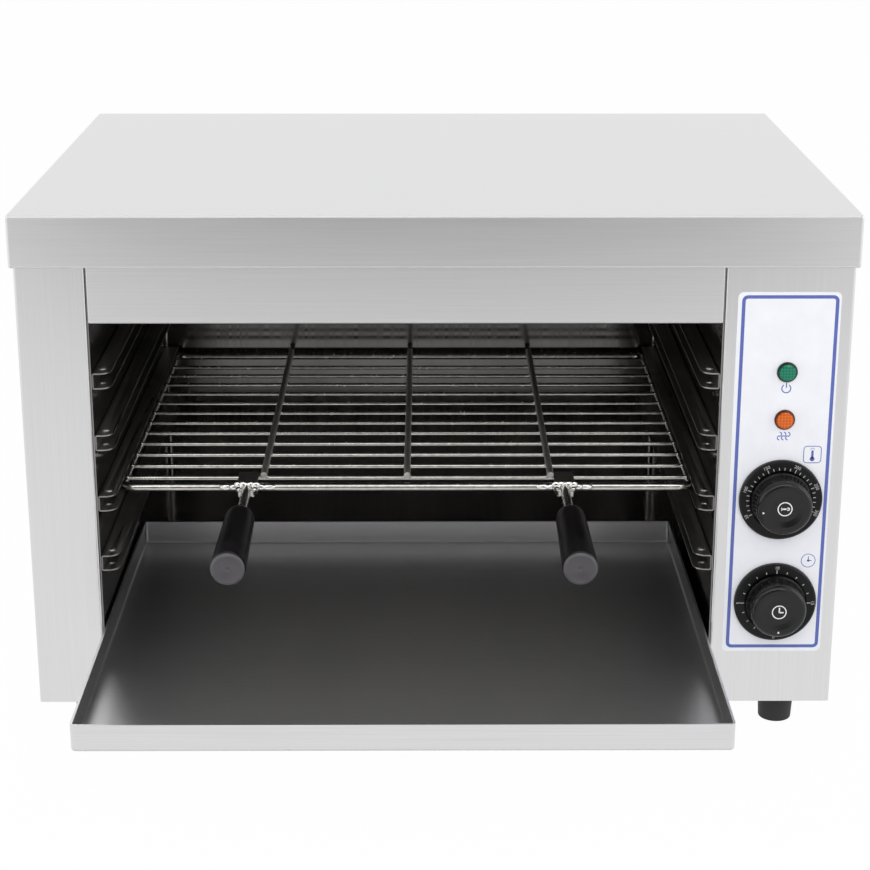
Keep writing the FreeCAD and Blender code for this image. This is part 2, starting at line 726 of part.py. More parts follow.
def flange_drills(name, side):
    """Holes for the back panel's screws in one casing's rear fold."""
    return [rod(f"{name}_drill_{i}", "Y", x, back - 2 * s.sheet_gauge, z, s.screw_radius,
                3 * s.sheet_gauge)
            for i, (x, z) in enumerate(case_screw_places()) if x.value * side > 0]


def make_left_casing():
    body = make_side_casing("left_casing_shell", s.left_column_width, 1)
    place(body, left, front, bottom)
    keep("left_side_casing", cut("left_casing_part", body, flange_drills("left_casing", -1)))


def panel_drills(name, y, length):
    """Holes for lamps, control bushes and control screws through the control panel."""
    drills = []
    for i, z in enumerate((power_lamp_z, heat_lamp_z)):
        drills.append(rod(f"{name}_lamp_{i}", "Y", control_x, y, z,
                          s.lamp_neck_radius + s.hole_gap, length))
    for i, z in enumerate((thermostat_z, timer_z)):
        drills.append(rod(f"{name}_bush_{i}", "Y", control_x, y, z,
                          s.bush_radius + s.hole_gap, length))
    for i, (x, z) in enumerate(control_screw_places()):
        drills.append(rod(f"{name}_screw_{i}", "Y", x, y, z, s.screw_radius + s.hole_gap, length))
    return drills


def make_control_housing():
    body = make_side_casing("control_shell", s.right_column_width, -1)
    place(body, right, front, bottom)
    drills = panel_drills("housing", front - s.sheet_gauge, 3 * s.sheet_gauge)
    drills += flange_drills("housing", 1)
    keep("control_housing", cut("control_housing_part", body, drills))


def make_front_strips():
    gauge = s.sheet_gauge
    flange = s.strip_flange
    height = top - valance_bottom
    body = new_body("valance_strip")
    section = draw(body, "valance_section", "YZ")
    loop(section, [
        (0, 0, s.bend_radius), (flange, 0), (flange, gauge), (gauge, gauge, inner_bend),
        (gauge, height - gauge, inner_bend), (flange, height - gauge), (flange, height),
        (0, height, s.bend_radius)])
    pad(body, "valance_length", section, strip_width, "YZ")

    def end_rim(edge):
        limits = edge.BoundBox
        at_end = near(limits.XMax, 0) or near(limits.XMin, strip_width.value)
        return at_end and near(limits.YMin, 0) and near(limits.YMax, 0)

    soften(body, "valance_ends", s.valance_end, end_rim)
    keep("front_valance", place(body, opening_left + s.front_gap, front, valance_bottom))

    height = s.floor_rise - s.liner_gauge
    body = new_body("sill_strip")
    section = draw(body, "sill_section", "YZ")
    loop(section, [
        (0, 0), (gauge, 0), (gauge, gauge), (flange, gauge), (flange, 2 * gauge),
        (gauge, 2 * gauge), (gauge, height - gauge, inner_bend), (flange, height - gauge),
        (flange, height), (0, height, s.bend_radius)])
    pad(body, "sill_length", section, strip_width, "YZ")
    keep("lower_sill", place(body, opening_left + s.front_gap, front, bottom))


def make_rear_panel():
    body = new_body("rear_plate")
    face = draw(body, "rear_face", "XZ")
    loop(face, rectangle(0, 0, body_width, s.casing_height))
    pad(body, "rear_sheet", face, s.sheet_gauge, "XZ")
    place(body, left, back, bottom)
    start = back - s.sheet_gauge
    length = 3 * s.sheet_gauge
    holes = [rod("rear_gland_hole", "Y", control_x, start, bottom + s.gland_rise,
                 s.gland_thread_radius + s.hole_gap, length)]
    holes += [rod(f"rear_case_hole_{i}", "Y", x, start, z, s.screw_radius + s.hole_gap, length)
              for i, (x, z) in enumerate(case_screw_places())]
    holes += [rod(f"rear_cover_hole_{i}", "Y", x, start, z, s.screw_radius, length)
              for i, (x, z) in enumerate(cover_screw_places())]
    for row in range(VENT_ROWS):
        for column in range(VENT_COLUMNS):
            holes.append(box(f"rear_vent_{row}_{column}",
                             right - s.vent_side_inset - s.vent_pitch * column, start,
                             bottom + s.vent_rise + s.vent_row_pitch * row,
                             s.vent_width, length, s.vent_height))
    keep("rear_panel", cut("rear_panel_part", body, holes))


def make_base_plate():
    gauge = s.sheet_gauge
    gap = s.notch_gap
    fold = s.column_return + gap
    left_in = s.left_column_width - gauge - gap
    left_out = s.left_column_width + gap
    right_out = body_width - s.right_column_width - gap
    right_in = body_width - s.right_column_width + gauge + gap
    rear = casing_run - gauge - gap
    flange = s.casing_flange + gap
    body = new_body("base_sheet_body")
    plan = draw(body, "base_plan", "XY")
    loop(plan, [
        (gauge, gauge), (left_in, gauge), (left_in, fold), (left_out, fold), (left_out, gauge),
        (right_out, gauge), (right_out, fold), (right_in, fold), (right_in, gauge),
        (body_width - gauge, gauge), (body_width - gauge, rear), (body_width - flange, rear),
        (body_width - flange, casing_run), (flange, casing_run), (flange, rear), (gauge, rear)])
    pad(body, "base_sheet", plan, gauge, "XY")
    place(body, left, front, bottom)
    holes = [rod(f"base_hole_{name}", "Z", x, y, bottom - gauge, s.foot_bore_radius, 3 * gauge)
             for name, x, y in foot_places()]
    holes += [box(f"base_vent_{column}",
                  control_x + s.vent_pitch * (column - VENT_COLUMNS / 2), front + casing_run / 2,
                  bottom - gauge, s.vent_width, s.base_vent_length, 3 * gauge)
              for column in range(VENT_COLUMNS)]
    keep("base_plate", cut("base_plate_part", body, holes))


def wall_drills():
    """Holes in the right wall for the elements and for the thermostat's bulb."""
    x = inner_right - s.liner_gauge
    length = 3 * s.liner_gauge
    drills = [rod(f"wall_leg_{i}", "X", x, y, element_z, s.element_radius + s.element_fit, length)
              for i, y in enumerate(leg_places())]
    drills.append(rod("wall_probe", "X", x, front + s.probe_back, ceiling - s.probe_rise,
                      s.probe_radius + s.element_fit, length))
    return drills


def make_lining_wall(name, plate_x, fold_x):
    """Upright lining sheet with a fold on the base plate and one under the cover."""
    start = front + s.liner_set_back
    run = cavity_depth + s.liner_gauge - s.liner_set_back
    fold_start = front + s.column_return + s.notch_gap
    fold_run = cavity_depth + s.liner_gauge - s.column_return - s.notch_gap
    height = s.casing_height - s.sheet_gauge
    width = s.liner_flange + s.liner_gauge
    return fuse(name + "_sheet", [
        box(name + "_plate", plate_x, start, base_top, s.liner_gauge, run, height),
        box(name + "_foot", fold_x, fold_start, base_top, width, fold_run, s.liner_gauge),
        box(name + "_head", fold_x, fold_start, top - s.liner_gauge, width, fold_run,
            s.liner_gauge)])


def make_lining():
    gauge = s.liner_gauge
    keep("cavity_left_wall",
         make_lining_wall("left_wall", opening_left, opening_left - s.liner_flange))
    right_wall = make_lining_wall("right_wall", inner_right, inner_right)
    keep("cavity_right_wall", cut("right_wall_part", right_wall, wall_drills()))
    back_y = front + cavity_depth
    keep("cavity_back_wall", fuse("back_wall_sheet", [
        box("back_wall_plate", inner_left, back_y, base_top, inner_width, gauge,
            s.casing_height - s.sheet_gauge),
        box("back_wall_foot", inner_left, back_y, base_top, inner_width, s.liner_flange,
            gauge)]))
    start = front + s.sheet_gauge
    run = cavity_depth - s.sheet_gauge
    keep("cavity_ceiling", fuse("ceiling_sheet", [
        box("ceiling_plate", inner_left, start, ceiling, inner_width, run, gauge),
        box("ceiling_left_fold", inner_left, start, ceiling, gauge, run, s.liner_flange),
        box("ceiling_right_fold", inner_right - gauge, start, ceiling, gauge, run,
            s.liner_flange)]))
    start = front + s.bend_radius
    run = cavity_depth - s.bend_radius
    fold_z = floor_top - s.liner_flange
    fold_start = front + s.strip_flange
    fold_run = cavity_depth - s.strip_flange
    keep("cavity_floor", fuse("floor_sheet", [
        box("floor_plate", inner_left, start, floor_top - gauge, inner_width, run, gauge),
        box("floor_left_fold", inner_left, fold_start, fold_z, gauge, fold_run, s.liner_flange),
        box("floor_right_fold", inner_right - gauge, fold_start, fold_z, gauge, fold_run,
            s.liner_flange)]))


def runner_top(level):
    return top - s.runner_drop - runner_pitch * (level - 1)


def half_ball(name, x, y, z, radius, height, upper):
    item = doc.addObject("Part::Ellipsoid", name)
    bind(item, "Radius1", height)
    bind(item, "Radius2", radius)
    bind(item, "Radius3", radius)
    item.Angle1 = 0 if upper else -90
    item.Angle2 = 90 if upper else 0
    return place(item, x, y, z)


def make_runner(side_name, side, wall_x, level):
    """Channel on a lining wall, open to the cavity, with a pressed dome in each flange."""
    name = f"runner_{side_name}_{level}"
    gauge = s.runner_gauge
    width = s.runner_width
    height = s.runner_height
    inner = s.runner_bend - gauge
    body = new_body(name + "_channel")
    section = draw(body, name + "_section", "XZ")
    corners = [
        (0, 0, s.runner_bend), (width, 0), (width, gauge), (gauge, gauge, inner),
        (gauge, height - gauge, inner), (width, height - gauge), (width, height),
        (0, height, s.runner_bend)]
    loop(section, [(as_size(corner[0]) * side,) + corner[1:] for corner in corners])
    pad(body, name + "_length", section, runner_length, "XZ")

    def front_tip(edge):
        limits = edge.BoundBox
        upright = near(limits.ZLength, gauge.value) and near(limits.XLength, 0)
        return upright and near(limits.YMax, 0) and near(abs(limits.XMax), width.value)

    soften(body, name + "_corners", s.runner_corner, front_tip)
    y = front + s.runner_set_back
    z = runner_top(level) - height
    place(body, wall_x, y, z)
    dome_x = wall_x + s.dome_inset * side
    dome_y = y + s.dome_set_back
    outer = s.dome_radius
    inner_radius = s.dome_radius - s.dome_wall
    rise = s.dome_height
    depth = gauge + s.dome_height - s.dome_wall
    whole = fuse(name + "_domed", [
        body,
        half_ball(name + "_upper_dome", dome_x, dome_y, z + height, outer, rise, True),
        half_ball(name + "_lower_dome", dome_x, dome_y, z, outer, rise, False)])
    keep(name, cut(name + "_part", whole, [
        half_ball(name + "_upper_dent", dome_x, dome_y, z + height - gauge, inner_radius, depth,
                  True),
        half_ball(name + "_lower_dent", dome_x, dome_y, z + gauge, inner_radius, depth, False)]))


def make_elements():
    """Three U-shaped sheathed elements, their hangers, nuts and terminals."""
    bend_x = inner_left + s.element_left_gap + s.element_radius + s.element_spread / 2
    leg_run = opening_right + s.element_tail - bend_x
    for name, y in zip(("front", "middle", "rear"), element_centres()):
        label = f"heating_element_{name}"
        legs = [rod(f"{label}_leg_{i}", "X", bend_x, y + s.element_spread / 2 * side, element_z,
                    s.element_radius, leg_run) for i, side in enumerate((-1, 1))]
        turn_ = bend(label + "_bend", bend_x, y, element_z, s.element_spread / 2,
                     s.element_radius, ((0, 0, 1), 90), 180)
        keep(label, fuse(label + "_tube", legs + [turn_]))

    centres = list(element_centres())
    start = centres[0] - s.element_spread / 2 - s.hanger_margin
    run = centres[-1] - centres[0] + s.element_spread + 2 * s.hanger_margin
    strips = []
    for side in (-1, 1):
        x = middle + inner_width * HANGER_SPREAD_SHARE * side
        z = element_z - s.hanger_skirt
        strips.append(fuse(f"hanger_{side + 2}", [
            box(f"hanger_strip_{side + 2}", x, start, z, s.hanger_gauge, run, ceiling - z),
            box(f"hanger_fold_{side + 2}", x, start, ceiling - s.hanger_gauge, s.hanger_flange, run,
                s.hanger_gauge)]))
    holes = [rod(f"hanger_hole_{i}", "X", inner_left, y, element_z,
                 s.element_radius + s.element_fit, inner_width)
             for i, y in enumerate(leg_places())]
    keep("element_hangers", cut("hangers_part", gather("hangers_blank", strips), holes))

    nuts = []
    terminals = []
    for i, y in enumerate(leg_places()):
        nut = hex_nut(f"element_nut_{i}", "X", opening_right, y, element_z, s.nut_radius,
                      s.nut_height)
        hole = rod(f"element_nut_hole_{i}", "X", inner_right, y, element_z, s.element_radius,
                   s.nut_height + 2 * s.liner_gauge)
        nuts.append(cut(f"element_nut_part_{i}", nut, [hole]))
        end = opening_right + s.element_tail
        terminals.append(fuse(f"terminal_{i}", [
            rod(f"terminal_bead_{i}", "X", end, y, element_z, s.bead_radius, s.bead_length),
            rod(f"terminal_pin_{i}", "X", end + s.bead_length, y, element_z, s.pin_radius,
                s.pin_length)]))
    keep("element_nuts", gather("element_nuts_part", nuts))
    keep("element_terminals", gather("element_terminals_part", terminals))


def make_control_label():
    body = new_body("label_sheet")
    face = draw(body, "label_face", "XZ")
    loop(face, rectangle(as_size(0), as_size(0), s.label_width, label_height, s.label_corner))
    pad(body, "label_film", face, s.label_gauge, "XZ")
    place(body, right - s.label_margin - s.label_width, label_face,
          top - s.label_drop - label_height)
    drills = panel_drills("label", label_face - s.label_gauge, 3 * s.label_gauge)
    keep("control_label", cut("label_part", body, drills))


def make_lamps():
    """Two neon lamps: a lens on the label and a holder behind the panel."""
    wall = s.label_gauge + s.sheet_gauge
    for label, z in (("power_lamp_lens", power_lamp_z), ("heat_lamp_lens", heat_lamp_z)):
        body = turned(label + "_turned", [
            (0, s.lamp_neck_length), (0, -s.lamp_stand), (s.lamp_face_radius * 0.75, -s.lamp_stand),
            (s.lamp_face_radius, -s.lamp_stand + s.edge_softness),
            (s.lamp_face_radius, -s.lamp_rim_gauge - s.edge_softness / 2),
            (s.lamp_rim_radius - s.edge_softness / 2, -s.lamp_rim_gauge),
            (s.lamp_rim_radius, -s.lamp_rim_gauge + s.edge_softness / 2),
            (s.lamp_rim_radius, 0), (s.lamp_neck_radius, 0),
            (s.lamp_neck_radius, s.lamp_neck_length)], control_x, label_face, z)
        keep(label, body)
    bodies = []
    for name, z in (("power", power_lamp_z), ("heat", heat_lamp_z)):
        holder = turned(f"{name}_lamp_holder", [
            (0, s.lamp_neck_length), (s.lamp_neck_radius, s.lamp_neck_length),
            (s.lamp_neck_radius, wall), (s.lamp_body_radius, wall),
            (s.lamp_body_radius, wall + s.lamp_body_length), (0, wall + s.lamp_body_length)],
            control_x, label_face, z)
        blades = [box(f"{name}_lamp_blade_{side + 2}",
                      control_x + s.lamp_body_radius / 2 * side - s.blade_gauge / 2,
                      panel_back + s.lamp_body_length, z - s.blade_width / 2,
                      s.blade_gauge, s.blade_length, s.blade_width) for side in (-1, 1)]
        bodies.append(fuse(f"{name}_lamp_body", [holder] + blades))
    keep("lamp_bodies", gather("lamp_bodies_part", bodies))


def make_dial(name, z):
    """Fixed scale ring: a raised annulus round the recess in which the knob turns."""
    body = turned(name + "_turned", [
        (s.bush_radius + s.hole_gap, 0), (s.dial_radius, 0),
        (s.dial_radius, -s.dial_gauge + s.dial_bevel), (s.dial_radius - s.dial_bevel, -s.dial_gauge),
        (s.dial_recess_radius, -s.dial_gauge), (s.dial_recess_radius, -s.dial_floor),
        (s.bush_radius + s.hole_gap, -s.dial_floor)], control_x, label_face, z)
    soften(body, name + "_rim", s.edge_softness / 2, rim(s.dial_recess_radius, -s.dial_gauge))
    drills = [rod(f"{name}_drill_{side + 2}", "Y", control_x + s.control_screw_spread * side,
                  label_face - 2 * s.dial_floor, z, s.screw_radius + s.hole_gap, 3 * s.dial_floor)
              for side in (-1, 1)]
    keep(name, cut(name + "_part", body, drills))


def make_control(name, z, width, depth, height):
    """Switch body behind the panel with a threaded bush through it."""
    bush_run = s.sheet_gauge + s.label_gauge + s.dial_floor
    case = box(name + "_case", control_x - width / 2, panel_back, z - height / 2,
               width, depth, height)
    bush = rod(name + "_bush", "Y", control_x, panel_back - bush_run, z, s.bush_radius,
               bush_run + s.sheet_gauge)
    bore = rod(name + "_bore", "Y", control_x, panel_back - 2 * bush_run, z,
               s.shaft_radius + s.running_gap, 2 * bush_run + s.bush_depth)
    threads = [rod(f"{name}_thread_{side + 2}", "Y", control_x + s.control_screw_spread * side,
                   front, z, s.screw_radius, s.sheet_gauge + s.control_screw_depth)
               for side in (-1, 1)]
    blades = [box(f"{name}_blade_{side + 2}", control_x + width / 4 * side, panel_back + depth,
                  z - s.blade_width / 2, s.blade_gauge, s.blade_length, s.blade_width)
              for side in (-1, 1)]
    whole = fuse(name + "_blank", [case, bush] + blades)
    keep(name, cut(name + "_part", whole, [bore] + threads))


def make_control_screws():
    seat = label_face - s.dial_floor
    length = s.dial_floor + s.label_gauge + s.sheet_gauge + s.control_screw_depth
    screws = [pan_screw(f"control_screw_{i}", x, seat, z, length, 1)
              for i, (x, z) in enumerate(control_screw_places())]
    keep("control_screws", gather("control_screws_part", screws))


def make_knob(name, z):
    """Knob and the shaft that it turns."""
    underside = label_face - s.knob_lift
    waist = s.knob_base_height + (s.knob_waist_height - s.knob_base_height) * 0.45
    body = turned(name + "_knob_turned", [
        (s.shaft_radius, 0), (s.knob_base_radius, 0), (s.knob_base_radius, -s.knob_base_height),
        (s.knob_waist_radius + (s.knob_base_radius - s.knob_waist_radius) * 0.35, -waist),
        (s.knob_waist_radius, -s.knob_waist_height), (s.knob_crown_radius, -s.knob_length),
        (s.knob_dish_radius, -s.knob_length), (s.knob_dish_radius * 0.7, -s.knob_length + s.knob_dish),
        (0, -s.knob_length + s.knob_dish), (0, -s.knob_bore_depth),
        (s.shaft_radius, -s.knob_bore_depth)], control_x, underside, z)
    soften(body, name + "_knob_base_edge", s.edge_softness,
           rim(s.knob_base_radius, -s.knob_base_height))
    soften(body, name + "_knob_front_edge", s.knob_edge, rim(s.knob_crown_radius, -s.knob_length))
    keep(name + "_knob", body)
    socket_end = underside - s.knob_bore_depth
    tail = panel_back + s.bush_depth - s.shaft_end_gap
    keep(name + "_shaft", rod(name + "_shaft_rod", "Y", control_x, socket_end, z, s.shaft_radius,
                              tail - socket_end))


def make_probe():
    """Bulb under the cavity's roof and its capillary tube to the thermostat."""
    y = front + s.probe_back
    z = ceiling - s.probe_rise
    collar_end = opening_right + s.probe_collar_length
    thermostat_top = thermostat_z + s.thermostat_height / 2
    drop_x = control_x + s.capillary_offset
    bend_x = drop_x - s.capillary_bend
    keep("thermostat_probe", fuse("probe_part", [
        rod("probe_bulb", "X", opening_right - s.probe_length, y, z, s.probe_radius,
            s.probe_length),
        rod("probe_collar", "X", opening_right, y, z, s.probe_collar_radius,
            s.probe_collar_length),
        rod("probe_lead", "X", collar_end, y, z, s.capillary_radius, bend_x - collar_end),
        bend("probe_bend", bend_x, y, z - s.capillary_bend, s.capillary_bend, s.capillary_radius,
             ((1, 0, 0), 90)),
        rod("probe_drop", "Z", drop_x, y, thermostat_top, s.capillary_radius,
            z - s.capillary_bend - thermostat_top)]))


def make_heat_shield():
    """Sheet that stands off the hot wall, between the cavity and the controls."""
    gauge = s.liner_gauge
    x = opening_right
    y = front + s.shield_start
    z = base_top + s.shield_foot
    run = cavity_depth - s.shield_start - s.shield_rear_gap
    height = element_z - s.nut_radius - s.shield_head_gap - z
    width = s.shield_gap
    keep("heat_shield", fuse("shield_sheet", [
        box("shield_face", x + width - gauge, y, z, gauge, run, height),
        box("shield_lower_fold", x, y, z, width, run, gauge),
        box("shield_upper_fold", x, y, z + height - gauge, width, run, gauge)]))


def make_feet():
    for name, x, y in foot_places():
        body = turned(name + "_turned", [
            (s.foot_bore_radius, s.foot_socket_depth), (s.foot_socket_radius, s.foot_socket_depth),
            (s.foot_socket_radius, 0), (s.foot_sole_radius, 0),
            (s.foot_top_radius, s.foot_height), (s.foot_bore_radius, s.foot_height)],
            x, y, as_size(0), "XZ")
        sole = s.foot_sole_radius.value
        soften(body, name + "_sole_edge", s.foot_edge,
               lambda edge: near(edge.BoundBox.ZMax, 0) and near(edge.BoundBox.XMax, sole))
        keep(name, body)
    fasteners = []
    for name, x, y in foot_places():
        head_z = s.foot_socket_depth - s.foot_screw_head_height
        shank_run = s.foot_height - s.foot_socket_depth + s.sheet_gauge + s.foot_nut_height
        screw = fuse(name + "_screw", [
            rod(name + "_screw_head", "Z", x, y, head_z, s.foot_screw_head_radius,
                s.foot_screw_head_height),
            rod(name + "_screw_shank", "Z", x, y, s.foot_socket_depth, s.foot_screw_radius,
                shank_run + s.foot_screw_tail)])
        nut = hex_nut(name + "_nut", "Z", x, y, base_top, s.foot_nut_radius, s.foot_nut_height)
        hole = rod(name + "_nut_hole", "Z", x, y, bottom, s.foot_screw_radius,
                   s.sheet_gauge + 2 * s.foot_nut_height)
        fasteners += [screw, cut(name + "_nut_part", nut, [hole])]
    keep("foot_screws", gather("foot_screws_part", fasteners))


def make_case_screws():
    """Screws of the back panel and of the cover, all alike."""
    screws = [pan_screw(f"panel_screw_{i}", x, back + s.sheet_gauge, z, s.case_screw_length, -1)
              for i, (x, z) in enumerate(case_screw_places())]
    skirt_face = front - s.end_overhang + s.lid_depth
    screws += [pan_screw(f"cover_screw_{i}", x, skirt_face, z, s.case_screw_length, -1)
               for i, (x, z) in enumerate(cover_screw_places())]
    keep("case_screws", gather("case_screws_part", screws))


def make_supply():
    """Cable gland with its nut, terminal block and earth stud."""
    gland_z = bottom + s.gland_rise
    outer_face = back + s.sheet_gauge
    cap_edge = s.gland_flange_length + (s.gland_stand - s.gland_flange_length) * 0.6
    keep("cord_gland", turned("gland_turned", [
        (s.gland_bore_radius, -s.gland_tail), (s.gland_thread_radius, -s.gland_tail),
        (s.gland_thread_radius, 0), (s.gland_flange_radius, 0),
        (s.gland_flange_radius, s.gland_flange_length), (s.gland_cap_radius, s.gland_flange_length),
        (s.gland_cap_radius, cap_edge), (s.gland_mouth_radius, s.gland_stand),
        (s.gland_bore_radius, s.gland_stand)], control_x, outer_face, gland_z))
    nut = hex_nut("gland_nut_blank", "Y", control_x, back - s.gland_nut_height, gland_z,
                  s.gland_nut_radius, s.gland_nut_height)
    hole = rod("gland_nut_hole", "Y", control_x, back - 2 * s.gland_nut_height, gland_z,
               s.gland_thread_radius, 3 * s.gland_nut_height)
    keep("gland_nut", cut("gland_nut_part", nut, [hole]))

    x = control_x - s.block_width / 2
    y = back - s.block_back
    block = box("terminal_case", x, y, base_top, s.block_width, s.block_depth, s.block_height)
    ports = []
    for column in (-1, 0, 1):
        port_x = control_x + s.block_port_pitch * column
        port_z = base_top + s.block_height / 2
        ports.append(rod(f"terminal_rear_port_{column + 2}", "Y", port_x,
                         y + s.block_depth - s.block_port_depth, port_z, s.block_port_radius,
                         2 * s.block_port_depth))
        ports.append(rod(f"terminal_front_port_{column + 2}", "Y", port_x, y - s.block_port_depth,
                         port_z, s.block_port_radius, 2 * s.block_port_depth))
    keep("terminal_block", cut("terminal_block_part", block, ports))

    stud_x = right - s.stud_side_inset
    stud_y = back - s.stud_back
    stud = rod("earth_pin", "Z", stud_x, stud_y, base_top, s.stud_radius, s.stud_height)
    nut = hex_nut("earth_nut", "Z", stud_x, stud_y, base_top + s.foot_nut_height,
                  s.foot_nut_radius, s.foot_nut_height)
    keep("earth_stud", fuse("earth_stud_part", [stud, nut]))


def make_tray():
    gauge = s.tray_gauge
    body = new_body("tray_pan")
    plan = draw(body, "tray_plan", "XY")
    loop(plan, rectangle(as_size(0), as_size(0), tray_width, tray_depth, s.tray_corner))
    pad(body, "tray_block", plan, s.tray_height, "XY")
    soften(body, "tray_folds", s.tray_fold, lambda edge: near(edge.BoundBox.ZMax, 0))
    room = draw(body, "tray_room", "XY", gauge)
    loop(room, rectangle(as_size(0) + gauge, as_size(0) + gauge, tray_width - 2 * gauge,
                         tray_depth - 2 * gauge, s.tray_corner - gauge))
    pocket_up(body, "tray_hollow", room, s.tray_height)
    soften(body, "tray_inner_folds", s.tray_fold - gauge,
           lambda edge: near(edge.BoundBox.ZMax, gauge.value) and near(edge.BoundBox.ZMin, gauge.value))
    hem = draw(body, "tray_hem_plan", "XY", s.tray_height - s.tray_hem)
    loop(hem, rectangle(gauge / 2, gauge / 2, tray_width - gauge, tray_depth - gauge,
                        s.tray_corner - gauge / 2))
    loop(hem, rectangle(2 * gauge, 2 * gauge, tray_width - 4 * gauge,
                        tray_depth - 4 * gauge, s.tray_corner - 2 * gauge))
    pad(body, "tray_rim", hem, s.tray_hem, "XY")
    keep("crumb_tray", place(body, inner_left + s.tray_left_gap, front - s.tray_drawn,
                             floor_top + s.slide_clearance))


def make_grid():
    """Welded wire grid: bent frame, cross rods in it with level tops and long bars on the rods."""
    wire = s.frame_radius
    half = grid_width / 2 - wire
    run = grid_run
    turn_ = s.frame_bend
    y = front + s.grid_set_back
    z = runner_top(RUNNERS_ABOVE_GRID + 1) - s.runner_height + s.runner_gauge + s.slide_clearance + wire
    bar_length = 2 * (half - turn_)
    frame = [
        rod("frame_front", "X", middle - half + turn_, y, z, wire, bar_length),
        rod("frame_rear", "X", middle - half + turn_, y + run, z, wire, bar_length),
        rod("frame_left", "Y", middle - half, y + turn_, z, wire, run - 2 * turn_),
        rod("frame_right", "Y", middle + half, y + turn_, z, wire, run - 2 * turn_)]
    for i, (side, deep) in enumerate(((1, True), (-1, True), (-1, False), (1, False))):
        bend_y = y + run - turn_ if deep else y + turn_
        frame.append(bend(f"frame_bend_{i}", middle + (half - turn_) * side, bend_y, z, turn_,
                          wire, ((0, 0, 1), 90 * i)))
    keep("grid_frame", fuse("grid_frame_part", frame))

    rod_z = z + wire - s.rod_radius
    rods = [rod(f"grid_rod_{i}", "X", middle - grid_width / 2 + s.rod_inset,
                y + s.first_rod_back + rod_pitch * i, rod_z, s.rod_radius,
                grid_width - 2 * s.rod_inset) for i in range(GRID_RODS)]
    keep("grid_cross_rods", gather("grid_rods_part", rods))

    bar_z = rod_z + s.rod_radius + s.bar_radius - s.weld_sink
    bar_start = y + s.first_rod_back - s.bar_lead
    bars = [rod(f"grid_bar_{share + 2}", "Y", middle + grid_width / 4 * share, bar_start, bar_z,
                s.bar_radius, y + run - bar_start) for share in (-1, 0, 1)]
    keep("grid_long_bars", gather("grid_bars_part", bars))
    make_handles(y, z, rod_z + s.rod_radius)


def make_handles(y, z, rods_top):
    """Two handles: a bent tab over the rods, a welded steel stem and a moulded grip."""
    gauge = s.tab_gauge
    tab_face = y - s.frame_radius - gauge
    tabs = []
    stems = []
    for side_name, side, offset in (("left", -1, s.handle_offset_left),
                                    ("right", 1, s.handle_offset_right)):
        x = middle + (grid_width / 4 + offset) * side
        body = new_body(f"tab_{side_name}_sheet")
        section = draw(body, f"tab_{side_name}_section", "YZ")
        reach = s.frame_radius + s.first_rod_back + s.tab_tail
        height = rods_top - z + s.stem_radius
        loop(section, [
            (0, 0), (gauge, 0), (gauge, height), (gauge + reach, height),
            (gauge + reach, height + gauge), (0, height + gauge, gauge)])
        pad(body, f"tab_{side_name}_width", section, s.tab_width, "YZ")
        tabs.append(place(body, x - s.tab_width / 2, tab_face, z - s.stem_radius))

        wing = new_body(f"wing_{side_name}_plate")
        plan = draw(wing, f"wing_{side_name}_plan", "XY")
        loop(plan, [(s.weld_wing_root, 0), (-s.weld_wing_root, 0),
                    (-s.weld_wing_tip, -s.weld_wing_length), (s.weld_wing_tip, -s.weld_wing_length)])
        pad(wing, f"wing_{side_name}_pad", plan, s.weld_wing_gauge, "XY")
        place(wing, x, tab_face, z - s.weld_wing_gauge / 2)
        grip_rear = y - s.grip_stand
        stem_start = grip_rear - s.stem_reach
        stem = rod(f"stem_{side_name}_rod", "Y", x, stem_start, z, s.stem_radius,
                   tab_face - stem_start)
        stems.append(fuse(f"stem_{side_name}", [stem, wing]))

        label = f"handle_grip_{side_name}"
        shoulder = s.grip_rear_radius
        grip = turned(label + "_turned", [
            (s.stem_radius, 0), (shoulder, 0), (s.grip_front_radius, -s.grip_length),
            (0, -s.grip_length), (0, -s.stem_reach), (s.stem_radius, -s.stem_reach)],
            x, grip_rear, z)
        soften(grip, label + "_shoulder", s.grip_shoulder, rim(shoulder, as_size(0)))
        soften(grip, label + "_edge", s.grip_edge, rim(s.grip_front_radius, -s.grip_length))
        keep(label, grip)
    keep("handle_tabs", gather("handle_tabs_part", tabs))
    keep("handle_stems", gather("handle_stems_part", stems))


make_top_cover()
make_left_casing()
make_control_housing()
make_front_strips()
make_rear_panel()
make_base_plate()
make_lining()
for level in range(1, RUNNER_LEVELS + 1):
    make_runner("left", 1, inner_left, level)
    make_runner("right", -1, inner_right, level)
make_elements()
make_control_label()
make_lamps()
make_dial("thermostat_dial_ring", thermostat_z)
make_dial("timer_dial_ring", timer_z)
make_control("thermostat_body", thermostat_z, s.thermostat_width, s.thermostat_depth,
             s.thermostat_height)
make_control("timer_body", timer_z, s.timer_width, s.timer_depth, s.timer_height)
make_control_screws()
make_knob("thermostat", thermostat_z)
make_knob("timer", timer_z)
make_probe()
make_heat_shield()
make_feet()
make_case_screws()
make_supply()
make_tray()
make_grid()
doc.recompute()

failed = [item.Name for item in doc.Objects if "Invalid" in item.State or "Error" in item.State]
if failed:
    raise RuntimeError("features that failed: " + ", ".join(failed))
for label, item in parts.items():
    if item.Shape.isNull() or not item.Shape.isValid() or not item.Shape.Solids:
        raise RuntimeError("sub-part without a valid solid: " + label)

os.makedirs("parts", exist_ok=True)
for label, item in parts.items():
    item.Shape.exportStep(f"parts/{label}.step")
print(f"{len(parts)} sub-parts written")
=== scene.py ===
"""Cheese melter: studio scene of a countertop cabinet with a wire grid, crumb tray and dials.

Run as a script. It dresses the solid frame with finishes, printed marks, welds and grips.
"""

import math

import bmesh
import bpy
from bpy.props import FloatProperty, FloatVectorProperty, PointerProperty
from mathutils import Matrix, Vector, noise


